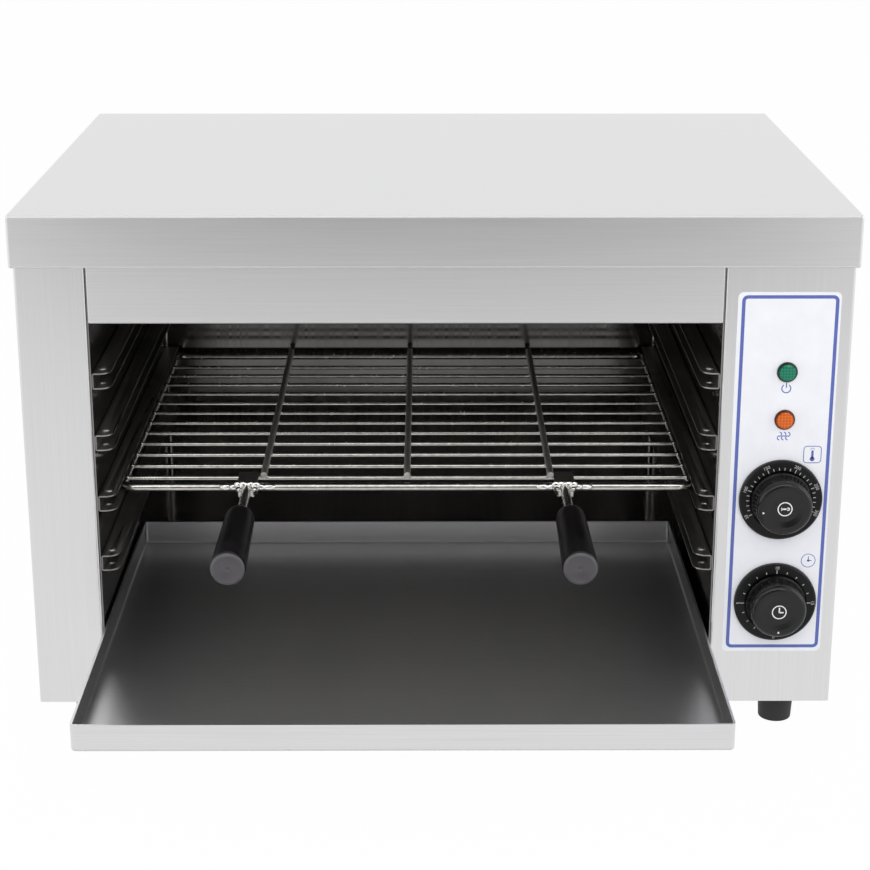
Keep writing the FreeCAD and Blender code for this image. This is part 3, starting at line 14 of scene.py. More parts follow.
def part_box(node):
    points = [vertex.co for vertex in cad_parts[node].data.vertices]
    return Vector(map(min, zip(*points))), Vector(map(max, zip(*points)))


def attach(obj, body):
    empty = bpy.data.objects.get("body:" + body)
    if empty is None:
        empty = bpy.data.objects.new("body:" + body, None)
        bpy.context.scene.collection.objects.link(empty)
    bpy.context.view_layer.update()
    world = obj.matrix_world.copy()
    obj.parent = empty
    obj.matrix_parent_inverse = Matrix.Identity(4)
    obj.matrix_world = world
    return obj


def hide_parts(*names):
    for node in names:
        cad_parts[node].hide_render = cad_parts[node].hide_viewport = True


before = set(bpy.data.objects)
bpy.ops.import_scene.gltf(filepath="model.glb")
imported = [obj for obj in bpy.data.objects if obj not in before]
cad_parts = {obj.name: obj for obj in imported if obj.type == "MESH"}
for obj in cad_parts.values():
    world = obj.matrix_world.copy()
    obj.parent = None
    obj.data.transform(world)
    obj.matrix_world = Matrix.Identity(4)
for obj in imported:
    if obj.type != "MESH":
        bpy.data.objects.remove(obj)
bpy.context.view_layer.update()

bl_info = {
    "name": "Cheese Melter",
    "version": (1, 0, 0),
    "blender": (4, 5, 0),
    "location": "View3D > Sidebar > Cheese Melter",
    "description": "Dresses a cheese melter in steel, plastic and print, and sets up its studio",
    "category": "Object",
}

MM = 0.001
TURN = math.tau

# Studio, in metres except for the camera, which was fitted in millimetres and degrees.
FLOOR_WIDTH = 60.0
FLOOR_THICKNESS = 0.02
FLOOR_WHITENESS = 0.98
LIGHT_TARGET = (0.0, 0.0, 0.2)
CAMERA_PLACE = (-7.9, -1557.13, 698.87)
CAMERA_ANGLES = (18.056, 0.321, 0.046)  # pitch down, yaw to the right, roll

# Millimetres, measured on the label and the dials.
LAMP_FACE_RADIUS = 6.2
SIGN_DROP = 12.3
THERMOMETER_PLACE = (273.7, 222.2)
CLOCK_PLACE = (275.3, 139.7)
SCALE_RADIUS = {"thermostat": 24.4, "timer": 24.6}
NUMBER_RADIUS = {"thermostat": 27.5, "timer": 27.6}


def shade(hex_code):
    """Linear colour of an sRGB hex value."""
    channels = [int(hex_code[i:i + 2], 16) / 255 for i in (1, 3, 5)]
    linear = [c / 12.92 if c <= 0.04045 else ((c + 0.055) / 1.055) ** 2.4 for c in channels]
    return (*linear, 1.0)


def add_node(tree, kind, inputs=None, **settings):
    """Add a node; an input is a value or the socket that feeds it."""
    made = tree.nodes.new(kind)
    for name, value in settings.items():
        setattr(made, name, value)
    for name, value in (inputs or {}).items():
        if isinstance(value, bpy.types.NodeSocket):
            tree.links.new(value, made.inputs[name])
        else:
            made.inputs[name].default_value = value
    return made


def new_surface(name, colour, metallic, roughness, **sockets):
    """Material with one principled shader; also returns its tree, shader and coordinates."""
    material = bpy.data.materials.new(name)
    material.use_nodes = True
    material.diffuse_color = colour
    tree = material.node_tree
    tree.nodes.clear()
    shader = add_node(tree, "ShaderNodeBsdfPrincipled", {
        "Base Color": colour, "Metallic": metallic, "Roughness": roughness, **sockets})
    add_node(tree, "ShaderNodeOutputMaterial", {"Surface": shader.outputs["BSDF"]})
    place = add_node(tree, "ShaderNodeTexCoord").outputs["Object"]
    return material, tree, shader, place


def stretched_noise(tree, place, cell, detail=2.0):
    """Noise whose cells are cell = (x, y, z) metres in size."""
    mapping = add_node(tree, "ShaderNodeMapping", {
        "Vector": place, "Scale": tuple(1.0 / length for length in cell)})
    texture = add_node(tree, "ShaderNodeTexNoise", {
        "Vector": mapping.outputs["Vector"], "Scale": 1.0, "Detail": detail, "Roughness": 0.55})
    return texture.outputs["Fac"]


def spread(tree, value, low, high, start=0.3, end=0.7):
    """Map a noise value to a range."""
    return add_node(tree, "ShaderNodeMapRange", {
        "Value": value, "From Min": start, "From Max": end, "To Min": low,
        "To Max": high}).outputs["Result"]


def tint(tree, value, low, high):
    """Blend two colours by a value; each colour is a value or a socket."""
    return add_node(tree, "ShaderNodeMix", {"Factor": value, "A": low, "B": high},
                    data_type="RGBA").outputs["Result"]


def compute(tree, operation, *values):
    """One arithmetic step on numbers."""
    return add_node(tree, "ShaderNodeMath", dict(enumerate(values)),
                    operation=operation).outputs[0]


def compute_vector(tree, operation, *values, result="Vector"):
    """One arithmetic step on vectors."""
    return add_node(tree, "ShaderNodeVectorMath", dict(enumerate(values)),
                    operation=operation).outputs[result]


def relief(tree, shader, value, depth, strength=1.0):
    """Bump of a depth in metres."""
    bump = add_node(tree, "ShaderNodeBump", {
        "Height": value, "Distance": depth, "Strength": strength})
    tree.links.new(bump.outputs["Normal"], shader.inputs["Normal"])


def brushed_sheet(name, along, low, high, roughness):
    """Stainless sheet, belt-ground in one direction: fine straight lines that soften reflections.

    Folding stretches the skin of the long bends, which leaves them matt and free of glints.
    """
    streak = 0.04
    material, tree, shader, place = new_surface(name, low, 1.0, roughness)
    grain = [0.7 * MM] * 3
    grain["XYZ".index(along)] = 100 * MM
    lines = stretched_noise(tree, place, grain, 3.0)
    tree.links.new(tint(tree, spread(tree, lines, 0.0, 1.0, 0.25, 0.75), low, high),
                   shader.inputs["Base Color"])
    facing = add_node(tree, "ShaderNodeSeparateXYZ", {
        0: add_node(tree, "ShaderNodeNewGeometry").outputs["Normal"]})
    between = compute(tree, "MULTIPLY", facing.outputs["Y"], facing.outputs["Z"])
    matt = spread(tree, compute(tree, "ABSOLUTE", between), 0.0, 0.55, 0.05, 0.3)
    ground = spread(tree, lines, roughness - streak / 2, roughness + streak / 2)
    tree.links.new(compute(tree, "ADD", ground, matt), shader.inputs["Roughness"])
    relief(tree, shader, lines, 0.000004, 0.15)
    return material


def bright_sheet(name, low, high, roughness):
    """Cold-rolled bright stainless sheet: nearly a mirror, with rolling streaks and wipe marks."""
    material, tree, shader, place = new_surface(name, low, 1.0, roughness)
    streaks = stretched_noise(tree, place, (0.003, 0.16, 0.16), 2.0)
    wipes = stretched_noise(tree, place, (0.05, 0.05, 0.05), 3.0)
    tree.links.new(tint(tree, spread(tree, wipes, 0.0, 1.0), low, high),
                   shader.inputs["Base Color"])
    tree.links.new(spread(tree, streaks, roughness * 0.7, roughness * 1.5),
                   shader.inputs["Roughness"])
    relief(tree, shader, wipes, 0.00004, 0.25)
    return material


def dulled_inside(material, heart, shaded_tone, near, far):
    """Paint shade on the inner faces of a pan: all of its walls, and its floor from near to far.

    The inner faces are those that look to the heart, a point above the pan. The darker tone is
    painted shade on the walls and towards the rear end.
    """
    tree = material.node_tree
    shader = next(n for n in tree.nodes if n.type == "BSDF_PRINCIPLED")
    bright = shader.inputs["Base Color"].links[0].from_socket
    place = add_node(tree, "ShaderNodeTexCoord").outputs["Object"]
    normal = add_node(tree, "ShaderNodeNewGeometry").outputs["True Normal"]
    out = compute_vector(tree, "SUBTRACT", place, heart)
    turned_in = compute_vector(tree, "DOT_PRODUCT", out, normal, result="Value")
    inside = compute(tree, "LESS_THAN", turned_in, 0.0)
    upward = add_node(tree, "ShaderNodeSeparateXYZ", {0: normal}).outputs["Z"]
    depth = add_node(tree, "ShaderNodeSeparateXYZ", {0: place}).outputs["Y"]
    rear_shade = spread(tree, depth, 0.0, 1.0, near, far)
    wall = spread(tree, upward, 1.0, 0.0, 0.2, 0.6)
    share = compute(tree, "MULTIPLY", compute(tree, "MAXIMUM", rear_shade, wall), inside)
    tree.links.new(tint(tree, share, bright, shaded_tone), shader.inputs["Base Color"])


def plated_steel(name, low, high, roughness, grain=0.004):
    """Nickel or zinc plated steel: bright, faintly uneven where wire was drawn and cleaned."""
    material, tree, shader, place = new_surface(name, low, 1.0, roughness)
    cells = stretched_noise(tree, place, (grain, grain, grain), 3.0)
    tree.links.new(tint(tree, spread(tree, cells, 0.0, 1.0), low, high),
                   shader.inputs["Base Color"])
    tree.links.new(spread(tree, cells, roughness * 0.7, roughness * 1.4),
                   shader.inputs["Roughness"])
    relief(tree, shader, cells, 0.00003, 0.2)
    return material


def moulded(name, low, high, roughness, pit=0.0007, depth=0.00004, **sockets):
    """Moulded plastic or rubber: a fine even texture from the mould breaks up the sheen."""
    material, tree, shader, place = new_surface(name, low, 0.0, roughness, **sockets)
    pits = stretched_noise(tree, place, (pit, pit, pit), 2.0)
    wear = stretched_noise(tree, place, (0.02, 0.02, 0.02), 3.0)
    tree.links.new(tint(tree, spread(tree, wear, 0.0, 1.0), low, high),
                   shader.inputs["Base Color"])
    tree.links.new(spread(tree, wear, roughness - 0.06, roughness + 0.06),
                   shader.inputs["Roughness"])
    relief(tree, shader, pits, depth, 0.5)
    return material


def ribbed_lens(name, low, high, roughness, middle, face_radius):
    """Clear tinted acrylic with a moulded square grid behind its face, which scatters the light.

    The rim round the face is painted nearly black: painted shade from the recess round the lens.
    """
    material, tree, shader, place = new_surface(
        name, low, 0.0, roughness, **{"Coat Weight": 0.25, "Coat Roughness": 0.08,
                                    "Specular IOR Level": 0.3})
    pitch, wave_scale = 1.1 * MM, 0.157
    ribs = [add_node(tree, "ShaderNodeTexWave", {
        "Vector": place, "Scale": wave_scale / pitch, "Distortion": 0.0},
        wave_type="BANDS", bands_direction=axis).outputs["Fac"] for axis in ("X", "Z")]
    squares = compute(tree, "MULTIPLY", *ribs)
    apart = compute_vector(tree, "SUBTRACT", place, tuple(middle))
    flat = compute_vector(tree, "MULTIPLY", apart, (1, 0, 1))
    radius = compute_vector(tree, "LENGTH", flat, result="Value")
    # Painted shade: the rim round the face darkens to nearly black.
    rim = spread(tree, radius, 0.0, 1.0, face_radius * 0.88, face_radius * 1.06)
    rim_shade_colour = (*(channel * 0.12 for channel in low[:3]), 1.0)
    tree.links.new(tint(tree, rim, tint(tree, squares, low, high), rim_shade_colour),
                   shader.inputs["Base Color"])
    relief(tree, shader, squares, 0.0002, 0.6)
    return material


def print_ink(name, colour):
    """Screen-printed ink: flat colour with a faint mottle where the mesh laid it down."""
    material, tree, shader, place = new_surface(name, colour, 0.0, 0.45)
    mottle = stretched_noise(tree, place, (0.0015, 0.0015, 0.0015), 2.0)
    pale = tuple(min(1.0, c * 1.12 + 0.004) for c in colour[:3]) + (1.0,)
    tree.links.new(tint(tree, spread(tree, mottle, 0.0, 1.0), colour, pale),
                   shader.inputs["Base Color"])
    return material


def finish_piece(bm, name, surface, body, replaced=(), smooth_angle=35.0):
    """Turn a bmesh into a piece at the origin and hand it to its body."""
    mesh = bpy.data.meshes.new(name)
    bmesh.ops.recalc_face_normals(bm, faces=bm.faces)
    bm.to_mesh(mesh)
    bm.free()
    mesh.materials.append(surface)
    piece = bpy.data.objects.new(name, mesh)
    bpy.context.scene.collection.objects.link(piece)
    for polygon in mesh.polygons:
        polygon.use_smooth = True
    mesh.set_sharp_from_angle(angle=math.radians(smooth_angle))
    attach(piece, body)
    if replaced:
        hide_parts(*replaced)
    return piece


def stand(bm, name, surface):
    """Turn a bmesh into an object of the studio, which isn't part of the model."""
    mesh = bpy.data.meshes.new(name)
    bm.to_mesh(mesh)
    bm.free()
    mesh.materials.append(surface)
    stood = bpy.data.objects.new(name, mesh)
    bpy.context.scene.collection.objects.link(stood)
    return stood


def dress(surface, *nodes):
    """Give CAD nodes a finish."""
    for name in nodes:
        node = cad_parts[name]
        node.data.materials.clear()
        node.data.materials.append(surface)


def merged(target, source, matrix=Matrix.Identity(4)):
    """Add one bmesh to another through a matrix, and free it."""
    source.transform(matrix)
    mesh = bpy.data.meshes.new("part")
    source.to_mesh(mesh)
    source.free()
    target.from_mesh(mesh)
    bpy.data.meshes.remove(mesh)


def facing_front(x, y, z, angle=0.0):
    """Matrix that stands a shape drawn in XY up on a face that looks to the front.

    The shape's X runs to the right, its Y runs up, and its Z comes out to the front. The angle
    turns it clockwise as seen from the front, in degrees.
    """
    return (Matrix.Translation((x, y, z)) @ Matrix.Rotation(math.radians(angle), 4, "Y")
            @ Matrix.Rotation(math.radians(90), 4, "X"))


def thicken(bm, thickness):
    """Extrude flat faces towards plus Z."""
    grown = bmesh.ops.extrude_face_region(bm, geom=list(bm.faces))
    raised = [item for item in grown["geom"] if isinstance(item, bmesh.types.BMVert)]
    bmesh.ops.translate(bm, verts=raised, vec=(0, 0, thickness))


def rectangle(width, height, radius=0.0):
    """Flat face in XY with rounded corners."""
    bm = bmesh.new()
    bmesh.ops.create_grid(bm, x_segments=1, y_segments=1, size=0.5,
                          matrix=Matrix.Diagonal((width, height, 1.0, 1.0)))
    if radius:
        bmesh.ops.bevel(bm, geom=list(bm.verts), offset=radius, segments=6, profile=0.5,
                        affect="VERTICES", material=-1)
    return bm


def plate(width, height, thickness, radius=0.0):
    """Flat plate in XY with rounded corners, its back on Z zero."""
    bm = rectangle(width, height, radius)
    thicken(bm, thickness)
    return bm


def hollow_plate(width, height, thickness, radius, line):
    """Outline of a rounded rectangle, line wide."""
    bm = rectangle(width, height, radius)
    inner = list(bm.faces)
    bmesh.ops.inset_region(bm, faces=inner, thickness=line, use_boundary=True,
                           use_even_offset=True)
    bmesh.ops.delete(bm, geom=inner, context="FACES")
    thicken(bm, thickness)
    return bm


def band(radius, line, thickness, start=0.0, sweep=TURN, steps=48):
    """Flat ring or arc in XY; angles run clockwise from the top."""
    bm = bmesh.new()
    inner = bm.verts.new((0, radius - line, 0))
    outer = bm.verts.new((0, radius, 0))
    edge = bm.edges.new((inner, outer))
    bmesh.ops.rotate(bm, verts=[inner, outer], cent=(0, 0, 0),
                     matrix=Matrix.Rotation(-start, 3, "Z"))
    full = abs(sweep - TURN) < 1e-6
    bmesh.ops.spin(bm, geom=[inner, outer, edge], cent=(0, 0, 0), axis=(0, 0, -1), angle=sweep,
                   steps=steps, use_merge=full, use_duplicate=False)
    thicken(bm, thickness)
    return bm


def disc(radius, thickness, segments=32):
    """Flat round or cornered plate in XY, its back on Z zero."""
    bm = bmesh.new()
    bmesh.ops.create_circle(bm, cap_ends=True, radius=radius, segments=segments)
    thicken(bm, thickness)
    return bm


def turned(profile):
    """Body of revolution about Z from (radius, height) points, first and last on the axis."""
    bm = bmesh.new()
    points = [bm.verts.new((radius, 0, height)) for radius, height in profile]
    edges = [bm.edges.new(pair) for pair in zip(points, points[1:])]
    bmesh.ops.spin(bm, geom=points + edges, cent=(0, 0, 0), axis=(0, 0, 1), angle=TURN,
                   steps=96, use_merge=True, use_duplicate=False)
    bmesh.ops.remove_doubles(bm, verts=bm.verts, dist=1e-7)
    return bm


def lettering(text, height, thickness):
    """Numbers as a mesh in XY, centred, their back on Z zero."""
    curve = bpy.data.curves.new("numbers", "FONT")
    curve.body = text
    curve.size = height / 0.7
    curve.align_x = "CENTER"
    curve.align_y = "CENTER"
    curve.extrude = thickness / 2
    holder = bpy.data.objects.new("numbers", curve)
    mesh = bpy.data.meshes.new_from_object(holder)
    bm = bmesh.new()
    bm.from_mesh(mesh)
    bmesh.ops.remove_doubles(bm, verts=bm.verts, dist=1e-7)
    bmesh.ops.translate(bm, verts=bm.verts, vec=(0, 0, thickness / 2))
    bpy.data.objects.remove(holder)
    bpy.data.curves.remove(curve)
    bpy.data.meshes.remove(mesh)
    return bm


def low(node):
    """Corner of a node's box with the lowest coordinates."""
    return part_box(node)[0]


def high(node):
    """Corner of a node's box with the highest coordinates."""
    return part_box(node)[1]


def centre(node):
    """Middle of a node's box."""
    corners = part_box(node)
    return (corners[0] + corners[1]) / 2


class SteelSettings(bpy.types.PropertyGroup):
    """Sheet and wire finishes."""

    casing_roughness: FloatProperty(
        name="Casing roughness", description="Belt-ground outer sheet", default=0.30,
        min=0.05, max=1.0, subtype="FACTOR")
    cavity_roughness: FloatProperty(
        name="Cavity roughness", description="Bright inner sheet", default=0.12,
        min=0.02, max=1.0, subtype="FACTOR")
    wire_roughness: FloatProperty(
        name="Wire roughness", description="Plated wire", default=0.20,
        min=0.02, max=1.0, subtype="FACTOR")


class PrintSettings(bpy.types.PropertyGroup):
    """Printed marks on the label and dials."""

    ink_depth: FloatProperty(
        name="Ink depth", description="Thickness of a printed mark", default=0.06 * MM,
        unit="LENGTH", precision=5)
    border_line: FloatProperty(
        name="Border line", description="Width of the label's printed border", default=2.5 * MM,
        unit="LENGTH", precision=4)
    ink_colour: FloatVectorProperty(
        name="Label ink", description="Colour of the label's border and signs",
        default=shade("#5363AB")[:3], subtype="COLOR", size=3, min=0.0, max=1.0)
    tick_length: FloatProperty(
        name="Tick length", description="Length of a short scale mark", default=2.0 * MM,
        unit="LENGTH", precision=4)
    number_height: FloatProperty(
        name="Number height", description="Height of the dials' numbers", default=2.4 * MM,
        unit="LENGTH", precision=4)


class StudioSettings(bpy.types.PropertyGroup):
    """Camera and light."""

    lens: FloatProperty(
        name="Lens", description="Focal length on a 36 mm wide sensor", default=85.32,
        subtype="DISTANCE_CAMERA")
    key_power: FloatProperty(
        name="Key light", description="Power of the light over the front", default=24.0,
        unit="POWER")
    fill_power: FloatProperty(
        name="Side lights", description="Power of each side light", default=8.5, unit="POWER")
    sky_level: FloatProperty(
        name="Room light", description="Brightness of the room", default=0.55, min=0.0, max=2.0)


class MELTER_OT_casing(bpy.types.Operator):
    """Brushed stainless casing, top cover and front strips"""

    bl_idname = "melter.casing"
    bl_label = "Casing"

    def execute(self, context):
        steel = context.scene.melter_steel
        pale, dark = shade("#DEDEDF"), shade("#D7D7D8")
        level = brushed_sheet("brushed_stainless_across", "X", dark, pale, steel.casing_roughness)
        upright = brushed_sheet("brushed_stainless_upright", "Z", dark, pale,
                                steel.casing_roughness)
        zinc = plated_steel("zinc_coated_sheet", shade("#8E9394"), shade("#A7ABAC"), 0.45, 0.012)
        dress(level, "top_cover", "front_valance", "lower_sill")
        dress(upright, "left_side_casing", "control_housing", "rear_panel")
        dress(zinc, "base_plate", "heat_shield")
        return {"FINISHED"}


class MELTER_OT_cavity(bpy.types.Operator):
    """Bright stainless lining, runners and roof elements"""

    bl_idname = "melter.cavity"
    bl_label = "Cavity"

    def execute(self, context):
        rough = context.scene.melter_steel.cavity_roughness
        # The lining's grey is darker than the steel's own tone: painted shade inside the cavity.
        lining = bright_sheet("bright_stainless_lining_painted_shade", shade("#807D7B"), shade("#8E8B89"), rough)
        rail = bright_sheet("dull_stainless_rail", shade("#8D8B89"), shade("#A3A19E"),
                            rough * 3.2)
        sheath = plated_steel("oxidised_element_sheath", shade("#2F2B29"), shade("#463F3A"), 0.42,
                              0.006)
        copper = plated_steel("drawn_copper", shade("#8A5A3E"), shade("#A87452"), 0.32, 0.008)
        dress(lining, "cavity_left_wall", "cavity_right_wall", "cavity_back_wall",
              "cavity_ceiling", "cavity_floor")
        for side in ("left", "right"):
            dress(rail, *(f"runner_{side}_{level}" for level in range(1, 5)))
        dress(rail, "element_hangers")
        dress(sheath, "heating_element_front", "heating_element_middle", "heating_element_rear")
        dress(copper, "thermostat_probe")

        bend = bright_sheet("bright_stainless_corner", shade("#B9B7B4"), shade("#CFCDCA"), 0.16)
        back, radius, steps = low("cavity_back_wall").y, 3.0 * MM, 8
        foot, head = high("cavity_floor").z, low("cavity_ceiling").z
        arc = [math.radians(90 * step / steps) for step in range(1, steps)]
        outline = [(0.0, 0.0), (0.0, -radius),
                   *((radius - radius * math.cos(a), radius * math.sin(a) - radius) for a in arc),
                   (radius, 0.0)]
        bm = bmesh.new()
        for side, wall in ((1, high("cavity_left_wall").x), (-1, low("cavity_right_wall").x)):
            bm.faces.new([bm.verts.new((wall + side * x, back + y, foot)) for x, y in outline])
        thicken(bm, head - foot)
        finish_piece(bm, "cavity_corner_bends", bend, "cabinet")
        return {"FINISHED"}


class MELTER_OT_grid(bpy.types.Operator):
    """Plated wire grid with its spot welds"""

    bl_idname = "melter.grid"
    bl_label = "Wire grid"

    def execute(self, context):
        rough = context.scene.melter_steel.wire_roughness
        wire = plated_steel("plated_wire", shade("#A9A7A2"), shade("#C6C4BF"), rough)
        strip = plated_steel("ground_steel_strip", shade("#7E7974"), shade("#948F8A"), 0.42, 0.002)
        # The long bars are paler than the wire: painted light on their tops, besides their satin
        # roughness.
        bar = plated_steel("plated_long_bar_painted_light", shade("#C4C2BE"), shade("#DAD8D4"), rough * 2.1)
        dress(wire, "grid_frame", "grid_cross_rods", "handle_stems")
        dress(bar, "grid_long_bars")
        dress(strip, "handle_tabs")
        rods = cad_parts["grid_cross_rods"]
        rows = []
        for y in sorted(vertex.co.y for vertex in rods.data.vertices):
            if not rows or y - rows[-1][-1] > 5 * MM:
                rows.append([y])
            rows[-1].append(y)
        frame_low, frame_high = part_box("grid_frame")
        rods_low, rods_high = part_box("grid_cross_rods")
        bars_low, bars_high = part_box("grid_long_bars")
        rod_level = centre("grid_cross_rods").z
        bar_radius = 2.5 * MM
        spots = [(rods_low.x + 0.3 * MM, frame_high.z - 1.2 * MM, (2.0, 2.1, 1.6)),
                 (rods_high.x - 0.3 * MM, frame_high.z - 1.2 * MM, (2.0, 2.1, 1.6))]
        for x in (bars_low.x + bar_radius, centre("grid_long_bars").x, bars_high.x - bar_radius):
            for side in (-1, 1):
                spots.append((x + side * 2.2 * MM, rod_level + 1.2 * MM, (1.7, 1.9, 1.1)))
        bm = bmesh.new()
        for row in rows:
            y = (row[0] + row[-1]) / 2
            for x, z, size in spots:
                shape = Matrix.Diagonal((*(length * MM for length in size), 1.0))
                bmesh.ops.create_icosphere(bm, subdivisions=2, radius=1.0,
                                           matrix=Matrix.Translation((x, y, z)) @ shape)
        finish_piece(bm, "grid_spot_welds", wire, "grid", smooth_angle=80)

        # The welds' near-white tone is a painted highlight; the bead shapes are modelled.
        glinting_bead = plated_steel("weld_bead_painted_highlight", shade("#DCDBD8"), shade("#F2F1EE"), 0.17, 0.0012)
        frame_y, frame_z = frame_low.y, (frame_low.z + frame_high.z) / 2
        bm = bmesh.new()
        for side in ("left", "right"):
            self.handle_weld(bm, centre(f"handle_grip_{side}").x, frame_y, frame_z)
        finish_piece(bm, "handle_welds", glinting_bead, "grid", smooth_angle=80)
        return {"FINISHED"}

    @staticmethod
    def handle_weld(bm, x, y, z):
        """Run of weld metal that joins a stem and its tab to the front bar."""
        drops = [(side * across, back, up, size) for side in (-1, 1) for across, back, up, size in (
            (6.6, -1.6, 3.2, (3.4, 1.9, 2.6)), (6.0, -4.0, 0.4, (2.9, 3.6, 2.6)),
            (4.9, -7.6, -2.0, (1.9, 4.2, 2.2)), (2.8, -2.2, 3.6, (3.4, 2.2, 2.8)),
            (10.5, 0.6, 0.9, (4.0, 2.6, 2.6)), (16.0, 1.0, 0.6, (5.5, 2.3, 2.6)))]
        for across, back, up, size in drops:
            shape = Matrix.Diagonal((*(length * MM for length in size), 1.0))
            at = Matrix.Translation((x + across * MM, y + back * MM, z + up * MM))
            made = bmesh.ops.create_icosphere(bm, subdivisions=3, radius=1.0, matrix=at @ shape)
            for vertex in made["verts"]:
                swell = noise.noise(vertex.co / (1.6 * MM)) * 0.25 * MM
                vertex.co += (vertex.co - at.translation).normalized() * swell


class MELTER_OT_handles(bpy.types.Operator):
    """Moulded grips with a rounded shoulder, flared end and centre mark"""

    bl_idname = "melter.handles"
    bl_label = "Handles"

    # Share of the rear radius, and mm from the grip's start.
    SHOULDER = ((0.0, 0.0), (0.45, 0.0), (0.66, 0.25), (0.86, 1.6), (0.96, 4.0), (1.0, 7.5))
    # Shares of the length at which the body widens.
    FLARE = (0.15, 0.3, 0.45, 0.6, 0.75, 0.88, 0.95)
    # Mm inside the front radius, and mm short of the end.
    RIM = ((0.0, 3.6), (0.2, 2.3), (0.8, 1.2), (1.7, 0.4), (2.8, 0.0), (3.2, 0.3))
    # Radius in mm, and mm short of the end.
    DIMPLE = ((2.2, 0.45), (1.5, 0.6), (0.8, 1.2), (0.0, 1.4))

    def execute(self, context):
        plastic = moulded("matt_black_phenolic", shade("#0A090A"), shade("#121013"), 0.36,
                          0.0006, 0.00004, **{"Specular IOR Level": 0.26})
        # The end is a little paler and shinier than the body: painted light, as the end
        # faces the front light.
        lit_end = moulded("black_phenolic_painted_light", shade("#3A383C"), shade("#464348"), 0.42,
                       0.0006, 0.00004, **{"Specular IOR Level": 0.6})
        for side in ("left", "right"):
            node = f"handle_grip_{side}"
            start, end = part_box(node)
            x, z = (start.x + end.x) / 2, (start.z + end.z) / 2
            length, front_radius = end.y - start.y, (end.x - start.x) / 2
            rear = front_radius * 0.879
            profile = [(rear * share, depth * MM) for share, depth in self.SHOULDER]
            profile += [(rear + (front_radius - rear) * share ** 1.3, length * share)
                        for share in self.FLARE]
            profile += [(front_radius - inset * MM, length - back * MM)
                        for inset, back in self.RIM]
            profile += [(radius * MM, length - back * MM) for radius, back in self.DIMPLE]
            bm = turned(profile)
            bm.transform(facing_front(x, end.y, z))
            grip = finish_piece(bm, f"grip_{side}", plastic, "grid", (node,), 50)
            grip.data.materials.append(lit_end)
            # Faces at the end of the grip get the paler material: painted light.
            for polygon in grip.data.polygons:
                polygon.material_index = int(polygon.center.y < start.y + 1.6 * MM)
        return {"FINISHED"}


class MELTER_OT_tray(bpy.types.Operator):
    """Crumb tray in brushed stainless"""

    bl_idname = "melter.tray"
    bl_label = "Crumb tray"

    def execute(self, context):
        sheet = brushed_sheet("brushed_stainless_tray", "X", shade("#D4D4D5"), shade("#DEDEDF"),
                              0.34)
        middle = centre("crumb_tray")
        # Painted shade: the tray's inner walls and the rear of its floor are darkened.
        dulled_inside(sheet, (middle.x, middle.y, 1.0), shade("#9E9E9F"), 0.01, 0.075)
        dress(sheet, "crumb_tray")
        return {"FINISHED"}


class MELTER_OT_label(bpy.types.Operator):
    """Printed control label with its border and signs"""

    bl_idname = "melter.label"
    bl_label = "Control label"

    def execute(self, context):
        settings = context.scene.melter_print
        ink_depth = settings.ink_depth
        film = moulded("satin_polyester_film", shade("#E9EAF0"), shade("#EFF0F5"), 0.34,
                       0.0009, 0.00001)
        ink = print_ink("blue_label_ink", (*settings.ink_colour, 1.0))
        dress(film, "control_label")
        start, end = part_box("control_label")
        face = start.y

        left, right = start.x + 2.8 * MM, end.x - 1.6 * MM
        lower, upper = start.z + 2.7 * MM, end.z - 2.2 * MM
        border = hollow_plate(right - left, upper - lower, ink_depth, 4.2 * MM,
                              settings.border_line)
        border.transform(facing_front((left + right) / 2, face, (lower + upper) / 2))
        finish_piece(border, "label_border", ink, "cabinet")

        lamp = centre("power_lamp_lens")
        signs = bmesh.new()
        at = facing_front(lamp.x, face, lamp.z - SIGN_DROP * MM)
        merged(signs, band(3.6 * MM, 0.8 * MM, ink_depth, 0.62, TURN - 1.24, 32), at)
        stroke = plate(0.8 * MM, 3.6 * MM, ink_depth)
        merged(signs, stroke, at @ Matrix.Translation((0, 2.4 * MM, 0)))
        finish_piece(signs, "power_sign", ink, "cabinet")

        lamp = centre("heat_lamp_lens")
        signs = bmesh.new()
        for step in (-1, 0, 1):
            at = facing_front(lamp.x + step * 3.0 * MM, face, lamp.z - SIGN_DROP * MM)
            merged(signs, band(1.9 * MM, 0.75 * MM, ink_depth, 0.0, TURN / 2, 12),
                   at @ Matrix.Translation((0, 1.15 * MM, 0)))
            merged(signs, band(1.9 * MM, 0.75 * MM, ink_depth, TURN / 2, TURN / 2, 12),
                   at @ Matrix.Translation((0, -1.15 * MM - 0.75 * MM / 2 - 0.02 * MM, 0)))
        finish_piece(signs, "heat_sign", ink, "cabinet")

        signs = bmesh.new()
        across, up = THERMOMETER_PLACE
        at = facing_front(across * MM, face, up * MM)
        merged(signs, hollow_plate(13.2 * MM, 13.2 * MM, ink_depth, 2.6 * MM, 0.55 * MM), at)
        merged(signs, plate(1.7 * MM, 6.6 * MM, ink_depth, 0.8 * MM), at)
        merged(signs, disc(1.75 * MM, ink_depth), at @ Matrix.Translation((0, -3.4 * MM, 0)))
        merged(signs, band(1.5 * MM, 0.35 * MM, ink_depth, -TURN / 4, TURN / 2, 12),
               at @ Matrix.Translation((0, 3.6 * MM, 0)))
        finish_piece(signs, "temperature_sign", ink, "cabinet")

        signs = bmesh.new()
        across, up = CLOCK_PLACE
        at = facing_front(across * MM, face, up * MM)
        merged(signs, band(5.4 * MM, 0.5 * MM, ink_depth), at)
        merged(signs, disc(0.9 * MM, ink_depth, 16), at)
        merged(signs, plate(0.55 * MM, 3.4 * MM, ink_depth),
               at @ Matrix.Translation((0, 1.7 * MM, 0)))
        merged(signs, plate(2.6 * MM, 0.55 * MM, ink_depth),
               at @ Matrix.Translation((1.3 * MM, 0, 0)))
        finish_piece(signs, "time_sign", ink, "cabinet")
        return {"FINISHED"}


